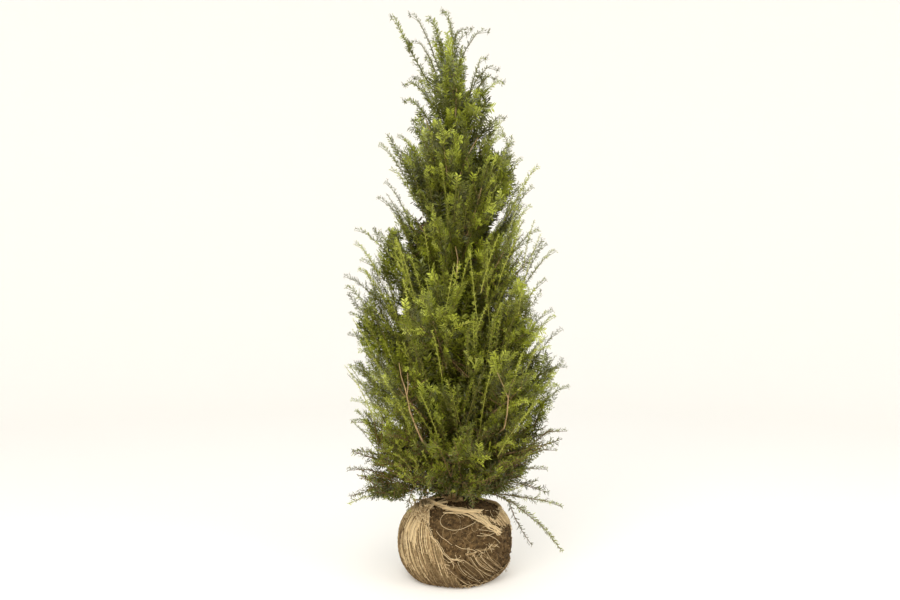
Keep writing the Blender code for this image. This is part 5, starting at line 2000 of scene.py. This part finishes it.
def make_sweep():
    """A pale round floor that curves up into a wall all round, the same from every side."""
    profile = [(0.001, 0.0), (FLOOR_RADIUS, 0.0)]
    for i in range(1, 13):
        angle = math.pi / 2 * i / 12
        profile.append((FLOOR_RADIUS + math.sin(angle) * WALL_CURVE, (1 - math.cos(angle)) * WALL_CURVE))
    profile.append((FLOOR_RADIUS + WALL_CURVE, WALL_HEIGHT))
    points, faces = [], []
    for i in range(WALL_SIDES):
        angle = 2 * math.pi * i / WALL_SIDES
        points += [(r * math.cos(angle), r * math.sin(angle), z) for r, z in profile]
    count = len(profile)
    for i in range(WALL_SIDES):
        a, b = i * count, (i + 1) % WALL_SIDES * count
        faces += [(a + k, b + k, b + k + 1, a + k + 1) for k in range(count - 1)]
    finish, _, shader = finish_of("paper", PAPER, 0.9, 0.1)
    shader.inputs["Emission Color"].default_value = (*PAPER, 1)
    shader.inputs["Emission Strength"].default_value = PAPER_GLOW
    sweep = mesh_object("sweep", points, faces, finish)


def set_the_stage():
    """Camera, floor and soft lights: one from the front, one from the side, a warm one low."""
    make_camera()
    make_sweep()
    world = bpy.data.worlds.new("studio")
    world.use_nodes = True
    sky = world.node_tree.nodes["Background"]
    sky.inputs["Color"].default_value = SKY_COLOUR
    sky.inputs["Strength"].default_value = SKY_STRENGTH
    bpy.context.scene.world = world
    make_light("key", (-0.9, -3.6, 3.4), 2.6, 124)
    make_light("fill", (2.8, -2.6, 1.8), 2.4, 44)
    make_light("bounce", (0.0, -2.2, 0.15), 1.6, 23, (0, 0, 0.3), (1.0, 0.74, 0.42))
    bpy.context.scene.view_settings.view_transform = "Standard"


# The pieces

def grow_crown(limbs):
    """Every shoot: the twigs of each limb, the plumes round the crown and the outline's shoots."""
    crown = Crown()
    space = CrownSpace(limbs, *trunk_line_and_sizes())
    for limb in limbs:
        if limb.name != "trailing" and not limb.name.startswith("leader"):
            grow_limb(limb, space, crown)
            grow_limb_end(limb, crown)
    for kind in PLUME_KINDS:
        grow_plumes(limbs, crown, *kind)
    crown.gapped = False
    trailing = next(limb.line[TRAILING_FROM:] for limb in limbs if limb.name == "trailing")
    looks = (TRAILING_NEEDLES, TRAILING_SIDES, TRAILING_THICKNESS)
    grow_plume(trailing, crown, random.Random(4), MATURE, *looks)
    grow_outline(limbs, crown)
    return crown


def make_needles(crown):
    """The needles of each tone, in a front and a back piece."""
    made = []
    tree = needle_tree()
    for seed, (halves, (tone, colour, _)) in enumerate(zip(crown.needles, TONES)):
        finish, _, _ = finish_of(tone, colour, NEEDLE_ROUGHNESS, NEEDLE_GLOSS)
        blade = needle_blade(TONE_WIDTHS[seed])
        for lines, half in zip(halves, ("front", "back")):
            name = f"{tone}_{half}"
            values = {
                "Needle": blade, "Spacing": TONE_SPACINGS[seed], "Splay": NEEDLE_SPLAY,
                "Seed": 10 * seed, "Material": finish,
            }
            piece = grown(lines.as_object(name + " lines"), name, tree, values)
            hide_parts(*FOLIAGE_NODES)
            made.append(piece)
        bpy.data.objects.remove(blade, do_unlink=True)
    return made


def make_twigs(crown, strands):
    """The wood of the shoots, in three colours."""
    made = []
    for lines, (name, colour) in zip(crown.woods, WOODS):
        finish, _, _ = finish_of(name, colour, 0.7, 0.25)
        values = {"Sides": 3, "Material": finish}
        piece = grown(lines.as_object(name + " lines"), name, strands, values)
        made.append(piece)
    return made


def make_ground(mottle):
    """The soil, and the crumbs strewn over it."""
    soil = make_soil(soil_finish(mottle))
    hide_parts("soil_ball")
    made = [soil]
    tree = crumb_tree()
    for seed, (name, colour, density, size) in enumerate(CRUMBS):
        finish, _, _ = finish_of(name, colour, 0.95, 0.15)
        ground = add_object(name + " ground", soil.data.copy())
        values = {"Density": density, "Seed": seed, "Size": size, "Material": finish}
        made.append(grown(ground, name, tree, values))
    return made


def make_jute(mottle, strands):
    """The torn cloth, its yarns and its rolled rim."""
    cloth = make_cloth(jute_finish(weave_group(), mottle))
    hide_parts("jute_wrap")
    finishes = [finish_of(name, colour, 0.9, 0.2)[0] for name, colour in YARN_COLOURS]
    yarns = make_yarns(strands, finishes)
    rim = make_rim(strands, finishes[PALE])
    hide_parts("jute_rim")
    made = [cloth, *yarns, rim]
    return made


def main():
    set_the_stage()
    mottle, strands = mottle_group(), strand_tree()
    limbs = crown_limbs()
    crown = grow_crown(limbs)
    pieces = [*make_needles(crown), *make_twigs(crown, strands), make_bark(limbs, mottle)]
    pieces += make_ground(mottle) + make_jute(mottle, strands)
    for piece in pieces:
        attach(piece, "root")


main()
